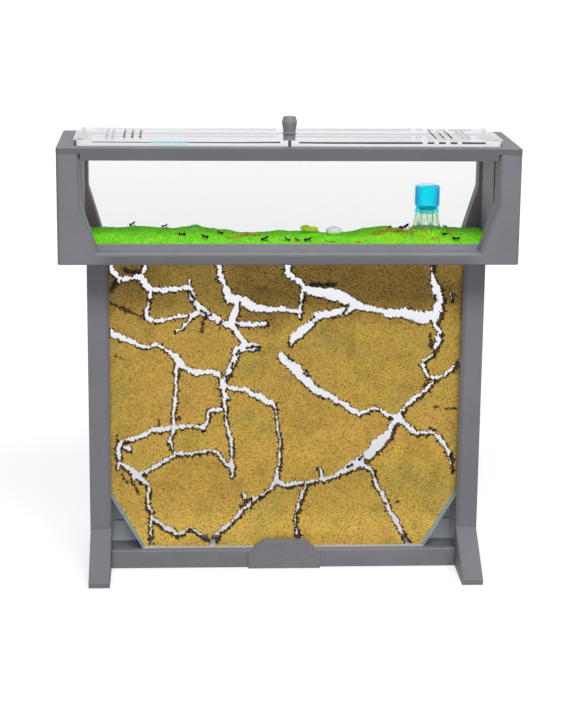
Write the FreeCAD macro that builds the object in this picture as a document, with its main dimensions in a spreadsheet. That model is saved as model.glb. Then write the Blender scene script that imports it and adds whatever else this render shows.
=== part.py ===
import FreeCAD, Part
import math
import os
import re
import Sketcher

# Ant habitat: an upright sand nest in a printed stand, with a windowed foraging box across its top.
# Frame: +X to the right, +Y to the back, +Z up, origin on the floor under the middle of the stand. Millimetres.

V = FreeCAD.Vector
doc = FreeCAD.newDocument("AntHabitat")

# ---------------------------------------------------------------------------------------------------
# Driving dimensions
# ---------------------------------------------------------------------------------------------------

SIZES = [
    ("sheet_thick", 3.0, "nest sheet thickness"),
    ("sand_thick", 9.0, "sand between the nest sheets"),
    ("nest_half_width", 82.5, "middle of the nest to the edge of a sheet"),
    ("nest_height", 142.5, "height of the nest sheets"),
    ("chamfer_wide", 18.5, "lower corner chamfer of the nest, across"),
    ("chamfer_tall", 31.8, "lower corner chamfer of the nest, up"),
    ("side_strip", 2.8, "width of the side spacer strips"),
    ("corner_strip", 1.0, "thickness of the chamfer spacer strips"),
    ("bottom_strip", 1.3, "thickness of the bottom spacer strip"),
    ("slide_gap", 0.3, "clearance round the nest in its channels"),
    ("fit_gap", 0.2, "clearance of printed tongues and tenons"),
    ("channel_lip", 3.0, "thickness of the channel lips in front of and behind the nest"),
    ("channel_bite", 3.8, "depth of the upright channel beside the nest"),
    ("post_web", 5.7, "solid web of an upright beside its channel"),
    ("foot_reach", 25.2, "reach of a foot beyond the face of its upright"),
    ("foot_rise", 18.5, "height where the foot slope meets the upright"),
    ("toe_height", 2.5, "upright face at the tip of a foot"),
    ("post_chamfer", 1.6, "chamfer on the inner edges of an upright"),
    ("slope_chamfer", 0.5, "chamfer on the inner edges of a foot slope"),
    ("gusset_thick", 2.0, "thickness of the rear corner gusset"),
    ("gusset_tall", 22.0, "height of the gusset along the upright"),
    ("gusset_wide", 12.8, "width of the gusset along the rail"),
    ("rail_floor", 7.2, "floor of the rail trough above the ground"),
    ("rail_lip", 1.6, "height of the rail lips above the trough floor"),
    ("rail_chamfer", 0.5, "chamfer on the outer edges of the rail"),
    ("corner_wall_tall", 8.2, "raised rear corner wall above the rail lip"),
    ("corner_wall_wide", 15.5, "length of a raised rear corner wall"),
    ("lug_proud", 1.5, "how far the central tab stands in front of the rail"),
    ("lug_foot", 33.0, "width of the tab at the ground"),
    ("lug_head", 19.4, "width of the tab at its top"),
    ("lug_shoulder", 7.0, "height of the tab shoulders"),
    ("lug_height", 13.0, "height of the tab"),
    ("tongue_long", 4.5, "length of the rail tongues"),
    ("tongue_wide", 12.0, "width of the rail tongues"),
    ("tongue_low", 1.5, "underside of the rail tongues"),
    ("tongue_tall", 4.5, "height of the rail tongues"),
    ("tenon_long", 3.2, "height of the tenons on the uprights"),
    ("tenon_wide", 12.0, "width of the tenons, front to back"),
    ("tenon_thick", 3.2, "thickness of the tenons, side to side"),
    ("tenon_inset", 0.9, "tenon set in from the outer face of the upright"),
    ("box_overhang", 11.5, "end of the box beyond the outer face of an upright"),
    ("box_depth", 60.0, "foraging box, front to back"),
    ("box_height", 48.1, "foraging box without its top frame"),
    ("box_chamfer", 1.0, "chamfer on the upright outer edges of the box"),
    ("side_wall", 10.0, "side wall of the box"),
    ("plate_thick", 10.5, "front and back wall of the box"),
    ("box_floor", 4.2, "floor of the box"),
    ("pane_thick", 3.0, "window pane"),
    ("pane_gap", 0.2, "clearance of a pane in its groove"),
    ("pane_bite", 3.0, "pane edge held in a side wall"),
    ("pane_sink", 2.0, "pane edge held in the floor"),
    ("kink_drop", 21.7, "top of the box down to the kink of the window"),
    ("window_taper", 7.0, "window narrower at its sill than at its kink, each side"),
    ("sill_height", 5.2, "sill above the underside of the box"),
    ("lip_height", 2.3, "sand lip above the sill"),
    ("lip_thick", 1.2, "thickness of the sand lip"),
    ("window_chamfer", 1.3, "chamfer round the windows"),
    ("back_window_step", 1.2, "back window narrower than the front one above its kink, each side"),
    ("back_sill_step", 0.6, "back window narrower than the front one at its sill, each side"),
    ("back_sill_flat", 1.5, "level part of the back sill, behind the pane"),
    ("back_sill_fall", 2.6, "fall of the back sill from there to the outside"),
    ("flange_thick", 2.4, "flange of the top frame"),
    ("skirt_drop", 2.8, "skirt of the top frame below its flange"),
    ("hatch_end_step", 4.0, "end of the hatch opening inside the side wall of the box"),
    ("hatch_side_step", 0.3, "side of the hatch opening inside the face of a pane"),
    ("lid_end_lap", 7.0, "lid beyond the end of the hatch opening"),
    ("lid_side_lap", 6.0, "lid beyond the side of the hatch opening"),
    ("lid_thick", 2.5, "lid sheet thickness"),
    ("lid_corner", 3.0, "lid corner radius"),
    ("pin_diameter", 1.8, "locating pin diameter"),
    ("pin_height", 2.2, "locating pin above the top frame"),
    ("pin_root", 1.6, "locating pin depth in the top frame"),
    ("pin_inset", 2.8, "locating pin from the lid edges"),
    ("pin_slack", 0.3, "radial clearance of the corner holes"),
    ("slit_margin", 1.5, "end of a vent slit inside the hatch opening"),
    ("slit_width", 0.9, "vent slit width"),
    ("slit_pitch", 3.5, "vent slit spacing"),
    ("slit_inset", 28.5, "first vent slit from the end of the lid"),
    ("vent_hole", 1.4, "vent hole diameter"),
    ("vent_pitch", 2.6, "vent hole spacing across"),
    ("vent_row", 3.4, "vent hole spacing along"),
    ("vent_inset", 16.5, "inner column of vent holes from the end of the lid"),
    ("vent_start", 3.0, "first vent hole row from the middle of the lid"),
    ("knob_radius", 3.3, "knob at its head and collar"),
    ("knob_waist", 2.65, "knob at its waist and base"),
    ("knob_height", 10.0, "knob above the lid"),
    ("knob_base", 2.3, "plain base of the knob below its collar"),
    ("knob_collar", 0.9, "collar thickness"),
    ("knob_inset", 3.6, "knob axis from the front edge of the lid"),
    ("stem_radius", 0.6, "knob stem radius"),
    ("bed_height", 3.2, "depth of the green sand bed"),
    ("bed_gap", 0.3, "sand bed from the panes and walls"),
    ("drinker_inset", 26.0, "drinker axis from the side wall of the box"),
    ("drinker_clear", 1.3, "drinker base from the back pane"),
    ("cup_radius", 5.7, "drinker bottle radius"),
    ("cup_height", 10.9, "drinker bottle height"),
    ("cup_wall", 0.8, "drinker bottle wall"),
    ("water_gap", 1.2, "air above the water in the bottle"),
    ("cup_round", 2.2, "rounding round the foot of the bottle"),
    ("cup_edge", 0.9, "rounding round the top of the bottle"),
    ("neck_radius", 3.3, "neck under the bottle"),
    ("neck_long", 2.0, "length of the neck"),
    ("stand_radius", 7.0, "drinker base radius"),
    ("stand_top", 4.9, "drinker base radius at the bottle seat"),
    ("stand_height", 11.1, "drinker base height to the bottle seat"),
    ("rib_thick", 0.8, "thickness of the ribs round the drinker's foot"),
    ("rib_proud", 0.5, "how far those ribs stand out"),
    ("stand_rim", 0.9, "height of the drinker base rim"),
]

sheet = doc.addObject("Spreadsheet::Sheet", "Sizes")
for row, (alias, number, note) in enumerate(SIZES, start=1):
    sheet.set("A%d" % row, alias)
    sheet.set("B%d" % row, str(number))
    sheet.setAlias("B%d" % row, alias)
    sheet.set("C%d" % row, note)
doc.recompute()

ALIASES = {alias for alias, number, note in SIZES}

# Positions that several pieces share, written once in terms of the driving dimensions.
SHARED = {
    "nest_half_thick": "(sand_thick / 2 + sheet_thick)",
    "channel_half": "(nest_half_thick + slide_gap)",
    "post_half": "(channel_half + channel_lip)",
    "post_inner": "(nest_half_width + slide_gap - channel_bite)",
    "channel_end": "(nest_half_width + slide_gap)",
    "post_outer": "(channel_end + post_web)",
    "post_top": "(rail_floor + nest_height - box_floor)",
    "foot_tip": "(post_half + foot_reach)",
    "rail_top": "(rail_floor + rail_lip)",
    "tenon_outer": "(post_outer - tenon_inset)",
    "tenon_inner": "(tenon_outer - tenon_thick)",
    "nest_top": "(rail_floor + nest_height)",
    "chamfer_foot": "(nest_half_width - chamfer_wide)",
    "chamfer_shoulder": "(rail_floor + chamfer_tall)",
    "box_top": "(post_top + box_height)",
    "box_half_width": "(post_outer + box_overhang)",
    "cavity_half_width": "(box_half_width - side_wall)",
    "plate_inner": "(box_depth / 2 - plate_thick)",
    "cavity_half_depth": "(plate_inner - pane_thick - pane_gap)",
    "floor_top": "(post_top + box_floor)",
    "sill_top": "(post_top + sill_height)",
    "lip_top": "(sill_top + lip_height)",
    "kink_level": "(box_top - kink_drop)",
    "waist_half_width": "(cavity_half_width - window_taper)",
    "lip_half_width": "(waist_half_width + window_taper * lip_height / (kink_level - sill_top))",
    "hatch_half_width": "(cavity_half_width - hatch_end_step)",
    "hatch_half_depth": "(cavity_half_depth - hatch_side_step)",
    "lid_half_width": "(hatch_half_width + lid_end_lap)",
    "lid_half_depth": "(hatch_half_depth + lid_side_lap)",
    "frame_top": "(box_top + flange_thick)",
    "lid_top": "(frame_top + lid_thick)",
    "bed_top": "(floor_top + bed_height)",
    "seat_level": "(bed_top + stand_height)",
}
WORD = re.compile(r"[a-z_]+")


def spelled(text):
    """Write a shared position out in driving dimensions."""
    while any(word in SHARED for word in WORD.findall(text)):
        text = WORD.sub(lambda match: SHARED.get(match.group(0), match.group(0)), text)
    return text


def bound(text):
    """Turn a size expression into one that reads the spreadsheet."""
    return WORD.sub(lambda match: "Sizes." + match.group(0) if match.group(0) in ALIASES
                    else match.group(0), spelled(text))


# A helper object that works the shared positions out once, for the pieces built in code.
levels = doc.addObject("App::FeaturePython", "Levels")
for name in SHARED:
    levels.addProperty("App::PropertyFloat", name)
    levels.setExpression(name, bound(name))
doc.recompute()


def size(name):
    """A driving dimension or a shared position as a number."""
    return getattr(levels, name) if name in SHARED else float(getattr(sheet, name))


# ---------------------------------------------------------------------------------------------------
# Sketch-based features; each takes world coordinates along its plane's axes
# ---------------------------------------------------------------------------------------------------

def origin_plane(body, plane):
    return [item for item in body.Origin.OriginFeatures if item.Role == plane + "_Plane"][0]


def place_sketch(body, name, plane, level):
    sketch = body.newObject("Sketcher::SketchObject", name)
    sketch.AttachmentSupport = [(origin_plane(body, plane), "")]
    sketch.MapMode = "FlatFace"
    sign = "-" if plane == "XZ" else ""
    sketch.setExpression("AttachmentOffset.Base.z", bound("%s(%s)" % (sign, level)))
    return sketch


def draw_outline(sketch, points):
    """Closed straight-sided outline; every corner is dimensioned from the origin."""
    count = len(points)
    first = sketch.GeometryCount
    start = [V(10 * math.cos(2 * math.pi * i / count), 10 * math.sin(2 * math.pi * i / count), 0)
             for i in range(count)]
    for i in range(count):
        sketch.addGeometry(Part.LineSegment(start[i], start[(i + 1) % count]), False)
    for i in range(count):
        sketch.addConstraint(Sketcher.Constraint("Coincident", first + i, 2, first + (i + 1) % count, 1))
    for i, (across, along) in enumerate(points):
        for kind, text, value in (("DistanceX", across, start[i].x), ("DistanceY", along, start[i].y)):
            index = sketch.addConstraint(Sketcher.Constraint(kind, -1, 1, first + i, 1, value))
            sketch.setExpression("Constraints[%d]" % index, bound(text))


def draw_circles(sketch, circles):
    for across, along, radius in circles:
        index = sketch.addGeometry(Part.Circle(V(1, 1, 0), V(0, 0, 1), 1.0), False)
        for kind, text in (("DistanceX", across), ("DistanceY", along)):
            number = sketch.addConstraint(Sketcher.Constraint(kind, -1, 1, index, 3, 1.0))
            sketch.setExpression("Constraints[%d]" % number, bound(text))
        number = sketch.addConstraint(Sketcher.Constraint("Radius", index, 1.0))
        sketch.setExpression("Constraints[%d]" % number, bound(radius))


def pad(body, name, plane, level, length, outlines=(), circles=()):
    """Add material from a level towards the positive axis."""
    sketch = place_sketch(body, name + "Outline", plane, level)
    for points in outlines:
        draw_outline(sketch, points)
    draw_circles(sketch, circles)
    feature = body.newObject("PartDesign::Pad", name)
    feature.Profile = sketch
    feature.setExpression("Length", bound(length))
    feature.Reversed = plane == "XZ"
    return feature


def pocket(body, name, plane, level, length, outlines=(), circles=()):
    """Remove material from a level towards the positive axis."""
    sketch = place_sketch(body, name + "Outline", plane, level)
    for points in outlines:
        draw_outline(sketch, points)
    draw_circles(sketch, circles)
    feature = body.newObject("PartDesign::Pocket", name)
    feature.Profile = sketch
    feature.setExpression("Length", bound(length))
    feature.Reversed = plane != "XZ"
    return feature


def revolve(body, name, points):
    """Turn a profile of (radius, height) corners about the body's upright axis."""
    sketch = place_sketch(body, name + "Profile", "XZ", "0")
    draw_outline(sketch, points)
    feature = body.newObject("PartDesign::Revolution", name)
    feature.Profile = sketch
    feature.ReferenceAxis = (sketch, ["V_Axis"])
    feature.Angle = 360
    return feature


def dress(body, kind, name, amount, chosen):
    """Fillet or chamfer the edges that a test picks out of the body's last feature."""
    doc.recompute()
    base = body.Tip
    names = ["Edge%d" % i for i, edge in enumerate(base.Shape.Edges, start=1) if chosen(edge)]
    if not names:
        raise RuntimeError("no edges for " + name)
    feature = body.newObject("PartDesign::" + kind, name)
    feature.Base = (base, names)
    feature.setExpression("Radius" if kind == "Fillet" else "Size", bound(amount))
    return feature


def rectangle(x_low, x_high, y_low, y_high):
    return [(x_low, y_low), (x_high, y_low), (x_high, y_high), (x_low, y_high)]


def centred(half_x, half_y):
    return rectangle("-(%s)" % half_x, half_x, "-(%s)" % half_y, half_y)


def mirrored(points):
    """An outline that is symmetrical about the upright axis, from its right half."""
    return list(points) + [("-(%s)" % across, along) for across, along in reversed(points)]


def flipped(points, side):
    return [("%d * (%s)" % (side, across), along) for across, along in points]


def new_body(label):
    body = doc.addObject("PartDesign::Body", label)
    body.Label = label
    return body


def near(value, target, slack=0.02):
    return abs(value - target) < slack


def is_upright(edge):
    box = edge.BoundBox
    return box.ZLength > 1.0 and box.XLength < 0.01 and box.YLength < 0.01


# ---------------------------------------------------------------------------------------------------
# Stand: two uprights and a base rail
# ---------------------------------------------------------------------------------------------------

def build_upright(label, side):
    """U-channel post open towards the nest, with a sloping foot in front and behind."""
    body = new_body(label)
    start = "post_inner" if side > 0 else "-post_outer"
    width = "(post_outer - post_inner)"
    pad(body, label + "Profile", "YZ", start, width, [[
        ("-foot_tip", "0"), ("foot_tip", "0"), ("foot_tip", "toe_height"), ("post_half", "foot_rise"),
        ("post_half", "post_top"), ("-post_half", "post_top"), ("-post_half", "foot_rise"),
        ("-foot_tip", "toe_height")]])

    inner = side * size("post_inner")
    post_half = size("post_half")
    rise = size("foot_rise")

    def on_inner_face(edge):
        box = edge.BoundBox
        return near(box.XMin, inner) and near(box.XMax, inner)

    def post_edge(edge):
        box = edge.BoundBox
        return on_inner_face(edge) and is_upright(edge) and near(abs(box.YMin), post_half) and box.ZMin > rise - 1

    def slope_edge(edge):
        box = edge.BoundBox
        return on_inner_face(edge) and box.YLength > 3 and box.ZLength > 3

    dress(body, "Chamfer", label + "PostChamfer", "post_chamfer", post_edge)
    dress(body, "Chamfer", label + "SlopeChamfer", "slope_chamfer", slope_edge)

    pocket(body, label + "Channel", "XY", "rail_floor", "nest_height", [flipped(
        rectangle("post_inner - 1", "channel_end", "-channel_half", "channel_half"), side)])
    pocket(body, label + "Mortise", "XY", "tongue_low - fit_gap", "tongue_tall + 2 * fit_gap", [flipped(
        rectangle("post_inner - 1", "post_inner + tongue_long + fit_gap",
                  "-(tongue_wide / 2 + fit_gap)", "tongue_wide / 2 + fit_gap"), side)])
    pad(body, label + "Tenon", "XY", "post_top", "tenon_long", [flipped(
        rectangle("tenon_inner", "tenon_outer", "-tenon_wide / 2", "tenon_wide / 2"), side)])
    gusset_foot = "(rail_top + corner_wall_tall)"
    pad(body, label + "Gusset", "XZ", "post_half - gusset_thick", "gusset_thick", [flipped(
        [("post_inner - gusset_wide", gusset_foot), ("post_inner + post_chamfer", gusset_foot),
         ("post_inner + post_chamfer", gusset_foot + " + gusset_tall"),
         ("post_inner", gusset_foot + " + gusset_tall")], side)])
    return body


build_upright("left_upright", -1)
build_upright("right_upright", 1)

rail = new_body("base_rail")
pad(rail, "RailTrough", "YZ", "-post_inner", "2 * post_inner", [[
    ("-post_half", "0"), ("post_half", "0"), ("post_half", "rail_top"), ("channel_half", "rail_top"),
    ("channel_half", "rail_floor"), ("-channel_half", "rail_floor"), ("-channel_half", "rail_top"),
    ("-post_half", "rail_top")]])


def rail_outer_edge(edge):
    box = edge.BoundBox
    return box.XLength > size("post_inner") and near(abs(box.YMin), size("post_half"))


dress(rail, "Chamfer", "RailChamfer", "rail_chamfer", rail_outer_edge)
for side, word in ((-1, "Left"), (1, "Right")):
    pad(rail, "RailTongue" + word, "XY", "tongue_low", "tongue_tall", [flipped(
        rectangle("post_inner - 1", "post_inner + tongue_long", "-tongue_wide / 2", "tongue_wide / 2"), side)])
    pad(rail, "RearCornerWall" + word, "XY", "rail_top - rail_chamfer", "corner_wall_tall + rail_chamfer", [
        flipped(rectangle("post_inner - corner_wall_wide", "post_inner", "channel_half", "post_half"), side)])
TAB = mirrored([("lug_foot / 2", "0"), ("lug_foot / 2", "lug_shoulder"), ("lug_head / 2", "lug_height")])
pad(rail, "FrontTab", "XZ", "-(post_half + lug_proud)", "channel_lip + lug_proud", [TAB])

# ---------------------------------------------------------------------------------------------------
# Nest: two clear sheets, spacer strips, and the sand with its galleries
# ---------------------------------------------------------------------------------------------------

SHEET_OUTLINE = mirrored([("chamfer_foot", "rail_floor"), ("nest_half_width", "chamfer_shoulder"),
                          ("nest_half_width", "nest_top")])

front_sheet = new_body("nest_front_sheet")
pad(front_sheet, "FrontSheet", "XZ", "-nest_half_thick", "sheet_thick", [SHEET_OUTLINE])
back_sheet = new_body("nest_back_sheet")
pad(back_sheet, "BackSheet", "XZ", "sand_thick / 2", "sheet_thick", [SHEET_OUTLINE])

# The strips keep to the sheets' edges: upright ones in the channels, slanting ones along the chamfers.
CHAMFER_LENGTH = "sqrt(chamfer_wide ^ 2 + chamfer_tall ^ 2)"
CORNER_SHIFT = "(corner_strip * %s / chamfer_tall)" % CHAMFER_LENGTH
BOTTOM_HALF = "(chamfer_foot + chamfer_wide * bottom_strip / chamfer_tall - %s)" % CORNER_SHIFT
for side, word in ((-1, "left"), (1, "right")):
    strip = new_body("nest_%s_spacer" % word)
    pad(strip, "SideStrip" + word, "XZ", "-sand_thick / 2", "sand_thick", [flipped([
        ("nest_half_width", "chamfer_shoulder"), ("nest_half_width", "nest_top"),
        ("nest_half_width - side_strip", "nest_top"),
        ("nest_half_width - side_strip", "chamfer_shoulder")], side)])
    corner = new_body("nest_%s_corner_spacer" % word)
    pad(corner, "CornerStrip" + word, "XZ", "-sand_thick / 2", "sand_thick", [flipped([
        ("chamfer_foot + chamfer_wide * bottom_strip / chamfer_tall", "rail_floor + bottom_strip"),
        ("nest_half_width", "chamfer_shoulder"),
        ("nest_half_width - " + CORNER_SHIFT, "chamfer_shoulder"),
        (BOTTOM_HALF, "rail_floor + bottom_strip")], side)])
bottom = new_body("nest_bottom_spacer")
pad(bottom, "BottomStrip", "XZ", "-sand_thick / 2", "sand_thick", [mirrored([
    ("chamfer_foot", "rail_floor"),
    ("chamfer_foot + chamfer_wide * bottom_strip / chamfer_tall", "rail_floor + bottom_strip")])])

# Galleries: each is a run of (across, up from the trough floor, width) points. Widths vary as ants dig.
# The points are drawn for a nest of these sizes and stretch with it; the widths stay.
DRAWN_HALF_WIDTH = 82.5
DRAWN_HEIGHT = 142.5
GALLERIES = [
    # upper left
    [(-81, 134, 3.0), (-78, 131.6, 3.0), (-76, 129, 1.8), (-74.9, 127.1, 2.4), (-71.3, 127.1, 1.3),
     (-67.7, 127.6, 1.7), (-64.9, 128, 2.4), (-63.1, 124.4, 3.2), (-60.6, 121.9, 2.8)],
    [(-74.9, 127.1, 1.8), (-74.6, 124.2, 1.0)],
    [(-62.7, 144, 2.0), (-62.7, 132.3, 1.9), (-64.1, 128.7, 2.2)],
    [(-60.6, 121.9, 2.6), (-57, 121.8, 2.2), (-52, 122.1, 2.0), (-47.7, 122.3, 1.7), (-43.1, 123.2, 2.0),
     (-42.2, 120.9, 2.8), (-42, 118, 2.5), (-40.6, 115.1, 2.3), (-37.7, 112.3, 1.8), (-33.4, 110.1, 1.7),
     (-28.6, 106.9, 1.9), (-25.7, 106, 2.4)],
    [(-43.1, 123.2, 1.4), (-43.2, 125.4, 1.0)],
    [(-60.6, 121.9, 2.0), (-60.6, 118.7, 1.8), (-61.6, 114.4, 1.6), (-62.4, 110.1, 2.0), (-61.3, 108.4, 2.0),
     (-58, 107.9, 1.5), (-54.9, 107.9, 1.3), (-51.3, 109.1, 1.2), (-46.3, 110, 1.1), (-42, 110.2, 1.3),
     (-38.8, 111.8, 1.8)],
    [(-42, 109.8, 1.4), (-44.9, 105.9, 1.3), (-47, 103.7, 1.3), (-49.4, 103, 1.0)],
    # left side
    [(-83, 103.2, 3.6), (-79.1, 102.3, 3.6), (-75.6, 100.9, 2.8), (-72, 99.1, 2.0), (-68.4, 98, 2.2),
     (-65.6, 96.2, 1.8), (-61.3, 95.5, 1.0), (-58.4, 96.8, 1.1), (-54.9, 95.1, 1.4), (-52, 93.4, 1.5),
     (-49.5, 91.1, 3.0), (-47.9, 87.8, 3.6), (-44.9, 85.8, 2.0), (-40.6, 83.5, 2.1), (-36.3, 84.1, 1.6),
     (-32.7, 83.9, 1.6), (-29.7, 82.2, 1.8), (-28.5, 79, 2.0), (-28.5, 76.6, 2.4)],
    [(-48.6, 87.4, 2.2), (-49.1, 84, 1.8), (-49.3, 79.7, 1.4), (-49.5, 74.7, 1.4), (-49.6, 70.4, 1.9),
     (-50.6, 65.4, 1.4), (-50.7, 61.1, 1.3), (-50.2, 57.6, 2.0), (-51.3, 54, 1.6), (-52.4, 51.1, 1.6),
     (-51.3, 48.3, 1.5), (-49.5, 45.4, 1.5), (-53.4, 42.6, 1.6), (-57.7, 40.3, 1.6), (-63.4, 36.4, 1.4),
     (-65.9, 34.9, 1.8)],
    [(-49.6, 70.6, 1.4), (-48.2, 69.9, 1.0)],
    [(-50.2, 57.6, 2.0), (-54.1, 57.4, 1.9), (-58.4, 56.9, 2.2), (-62, 55.8, 1.8), (-66.3, 53.6, 1.6),
     (-70.6, 51.9, 1.9), (-74.1, 51.1, 2.3), (-75.6, 48.3, 2.6), (-75.6, 44, 2.4), (-75.4, 41.4, 2.0),
     (-73.4, 40.3, 1.6), (-70.6, 38.1, 1.7), (-68.4, 35.3, 3.0), (-65.6, 34.2, 2.2), (-62.7, 31, 2.1),
     (-61.6, 28.1, 1.8), (-62.6, 25.3, 1.4), (-62.4, 21.7, 1.6), (-61.6, 18.9, 1.6), (-60.6, 14.6, 2.0),
     (-61.1, 10.3, 1.6), (-61.3, 6, 1.6), (-60.8, 1.0, 1.5)],
    [(-75.4, 41.4, 1.6), (-75.9, 38.4, 0.9)],
    [(-74.8, 48.6, 1.6), (-70.9, 48.4, 1.4)],
    [(-68.6, 34.6, 2.2), (-69.2, 31.4, 0.9)],
    [(-50.2, 57.6, 1.8), (-46.3, 58.3, 1.6), (-42, 58.6, 1.6), (-38.4, 57.9, 1.5), (-37, 57.7, 1.8),
     (-35.2, 60.4, 1.6), (-34.9, 64, 1.6), (-34.4, 65.9, 1.8), (-32, 66, 1.5), (-28.4, 66.5, 1.4), (-26.8, 66.6, 1.6)],
    [(-49.5, 45.4, 1.5), (-44.9, 45.4, 1.3), (-39.1, 46, 1.3), (-33.4, 46.9, 1.5), (-30.6, 46.1, 1.6),
     (-28.4, 42.9, 1.4), (-26.4, 40.6, 1.6), (-24.2, 38.6, 1.8)],
    # foot, left of the middle
    [(-60.6, 14.2, 1.8), (-57.7, 12.8, 1.8), (-54.1, 9.6, 2.6), (-52, 8.9, 2.6), (-49.1, 6.6, 1.9),
     (-45.6, 7.8, 1.1), (-42.7, 9.4, 1.1), (-39.1, 7.1, 1.5), (-35.6, 4.9, 1.7), (-32.9, 3.6, 3.2), (-32.7, 1.0, 2.8)],
    [(-32.9, 3.6, 3.0), (-30.4, 5.6, 2.8), (-29, 7.8, 2.2), (-25.7, 11, 1.9), (-22.1, 14.2, 1.8),
     (-19.3, 17.8, 2.0), (-15.7, 21, 1.5), (-12.9, 23.5, 1.4), (-8.6, 26.4, 1.4), (-5.4, 29.2, 1.7), (-4.1, 31.9, 2.4)],
    [(-18.9, 26.7, 1.2), (-18.2, 24.3, 2.0), (-16.4, 23.2, 1.4), (-13.2, 24.2, 1.1)],
    # middle columns
    [(-30.4, 144, 2.4), (-30.2, 133, 2.6), (-29.2, 127.8, 2.6), (-27.5, 124.1, 1.9), (-26.8, 121.6, 2.8),
     (-25.7, 118, 3.2), (-22.1, 117.3, 3.0), (-17.9, 116.2, 2.8), (-14.3, 114.1, 2.4), (-10, 113.4, 2.2),
     (-5.7, 112.7, 2.0), (-1.4, 113.4, 2.0), (2.1, 112.4, 1.7), (6.2, 111.4, 1.6)],
    [(-22.6, 117, 1.8), (-21.9, 114.4, 1.5), (-22.5, 111.6, 1.9), (-23.7, 109.2, 3.4), (-24.2, 106.4, 3.4),
     (-23.2, 104.2, 2.5), (-21.4, 101.6, 2.1), (-19.3, 98.7, 2.4), (-17.6, 95.9, 4.4), (-12.4, 95.2, 2.6)],
    [(-22.9, 106.2, 1.8), (-15.7, 105.8, 1.7), (-10.7, 106.2, 1.4), (-8.5, 106.8, 1.0)],
    [(-18.2, 95.6, 3.2), (-21.7, 93.7, 3.2), (-22.7, 89.7, 2.6), (-24.6, 86.1, 2.6), (-26.4, 81.9, 2.1),
     (-27.5, 78.6, 2.4), (-27.9, 75.4, 2.3), (-26.9, 72.6, 2.2), (-27.5, 69, 1.7), (-26.8, 65.4, 1.6),
     (-26.8, 61.1, 1.6), (-25.4, 55.4, 1.6), (-24.3, 51.1, 1.8), (-23.6, 46.9, 1.8), (-24.3, 42.8, 1.9),
     (-23.9, 38.9, 2.2), (-23.3, 36, 2.4), (-23.8, 34.4, 1.8)],
    [(-24.2, 86.3, 1.4), (-22.4, 86.9, 0.9)],
    [(-26.9, 72.4, 1.4), (-24.9, 71.2, 0.9)],
    [(-27.6, 76.5, 1.8), (-22.1, 76.3, 1.3), (-17.9, 75.7, 1.5), (-14.3, 73.4, 1.9), (-10.7, 72.1, 2.2),
     (-7.3, 69.6, 2.4), (-4.9, 69.2, 1.8), (-3.9, 65.4, 1.3), (-3.6, 61.1, 1.2), (-2.9, 56.1, 1.4),
     (-1.9, 51.9, 1.4), (-1.6, 48.3, 1.6), (-2.2, 44.6, 1.2), (-1.8, 40.6, 1.5), (-2.5, 38.1, 1.4),
     (-3.2, 34.2, 2.2), (-3.9, 32, 2.4)],
    [(-3.6, 32.2, 2.0), (0, 30.1, 1.7), (2.1, 29.9, 1.8), (5, 31, 1.9), (10, 30.7, 1.7), (12.9, 31.7, 1.6),
     (16.4, 32.4, 1.6), (20, 33.1, 1.5), (22.9, 33.9, 1.7), (26, 36.2, 2.4), (29.8, 38, 4.0), (35.3, 41, 3.8),
     (39.8, 44.6, 4.8), (41.9, 48, 5.0), (45.3, 51.1, 4.8), (48.1, 54.4, 4.0), (49.8, 58.3, 2.9), (52.1, 61.9, 3.2)],
    [(17.4, 33.4, 1.7), (17.1, 36.7, 1.7), (16.3, 38.7, 1.1)],
    [(10.6, 30.2, 1.9), (8.9, 26, 1.9), (7.5, 22.4, 2.1), (6.4, 18.1, 1.9), (5.7, 14.6, 1.5), (5.5, 11, 1.3),
     (6.4, 7.4, 1.8), (6.8, 3.9, 2.0), (6.8, 1.0, 2.0)],
    # upper right
    [(0.7, 144, 2.8), (0.7, 132.3, 3.0), (0.7, 129.1, 2.6), (2.9, 127.3, 2.1), (5.7, 125.9, 1.9), (7.9, 123.2, 2.4),
     (10, 121.5, 3.0), (14.3, 120.9, 3.4), (20, 120.1, 4.4), (23.6, 119.4, 4.4), (26.4, 117.9, 4.2),
     (30.3, 115.9, 3.4), (33.9, 114.2, 2.9), (38.1, 113.4, 2.4), (42.4, 112.4, 2.2), (46.7, 111, 2.8),
     (50.3, 111, 2.3), (54.6, 111, 3.3), (58.1, 109.6, 3.2), (61.7, 108.8, 3.2), (66, 108.9, 3.6), (68.9, 109.6, 3.6)],
    [(7.9, 122.4, 2.0), (7.3, 118, 1.9), (6.8, 114.4, 1.8), (6.6, 110.9, 1.6), (6.5, 109.4, 1.0)],
    [(31, 114.6, 2.0), (28.9, 112.7, 2.2), (26, 112.1, 2.4), (22.9, 111.6, 2.6), (19.3, 110.7, 2.2),
     (15.7, 110.6, 3.0), (12.9, 108.7, 2.7), (10, 105.1, 3.4), (6.4, 101.9, 4.2), (3.7, 99.4, 3.4), (2.9, 97.4, 1.9)],
    [(66, 144, 1.4), (66, 132.3, 1.3), (66, 128.7, 1.5), (66.7, 125.9, 1.7), (68.1, 123, 2.7), (68.9, 119.4, 2.8),
     (70.2, 117.3, 3.0), (69.6, 114.4, 3.0), (69.2, 111.6, 3.0), (68.2, 107.3, 2.6), (68.5, 104.4, 1.4),
     (70.3, 101.9, 1.9), (68.9, 99.4, 2.0), (70.5, 97.6, 2.2), (68.9, 95.9, 2.0), (68.1, 93.4, 1.5),
     (67.5, 91.7, 1.2), (64.9, 89.7, 1.3), (62.5, 87.6, 2.2), (63.9, 84, 1.7), (65.4, 80.9, 1.5), (68.9, 80.7, 1.7),
     (72.4, 82.2, 1.6), (76, 84.7, 1.7), (78.1, 87.2, 2.0), (83, 90.4, 2.0)],
    [(75, 119.4, 0.8), (75.3, 117.2, 0.9)],
    # lower right
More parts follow.
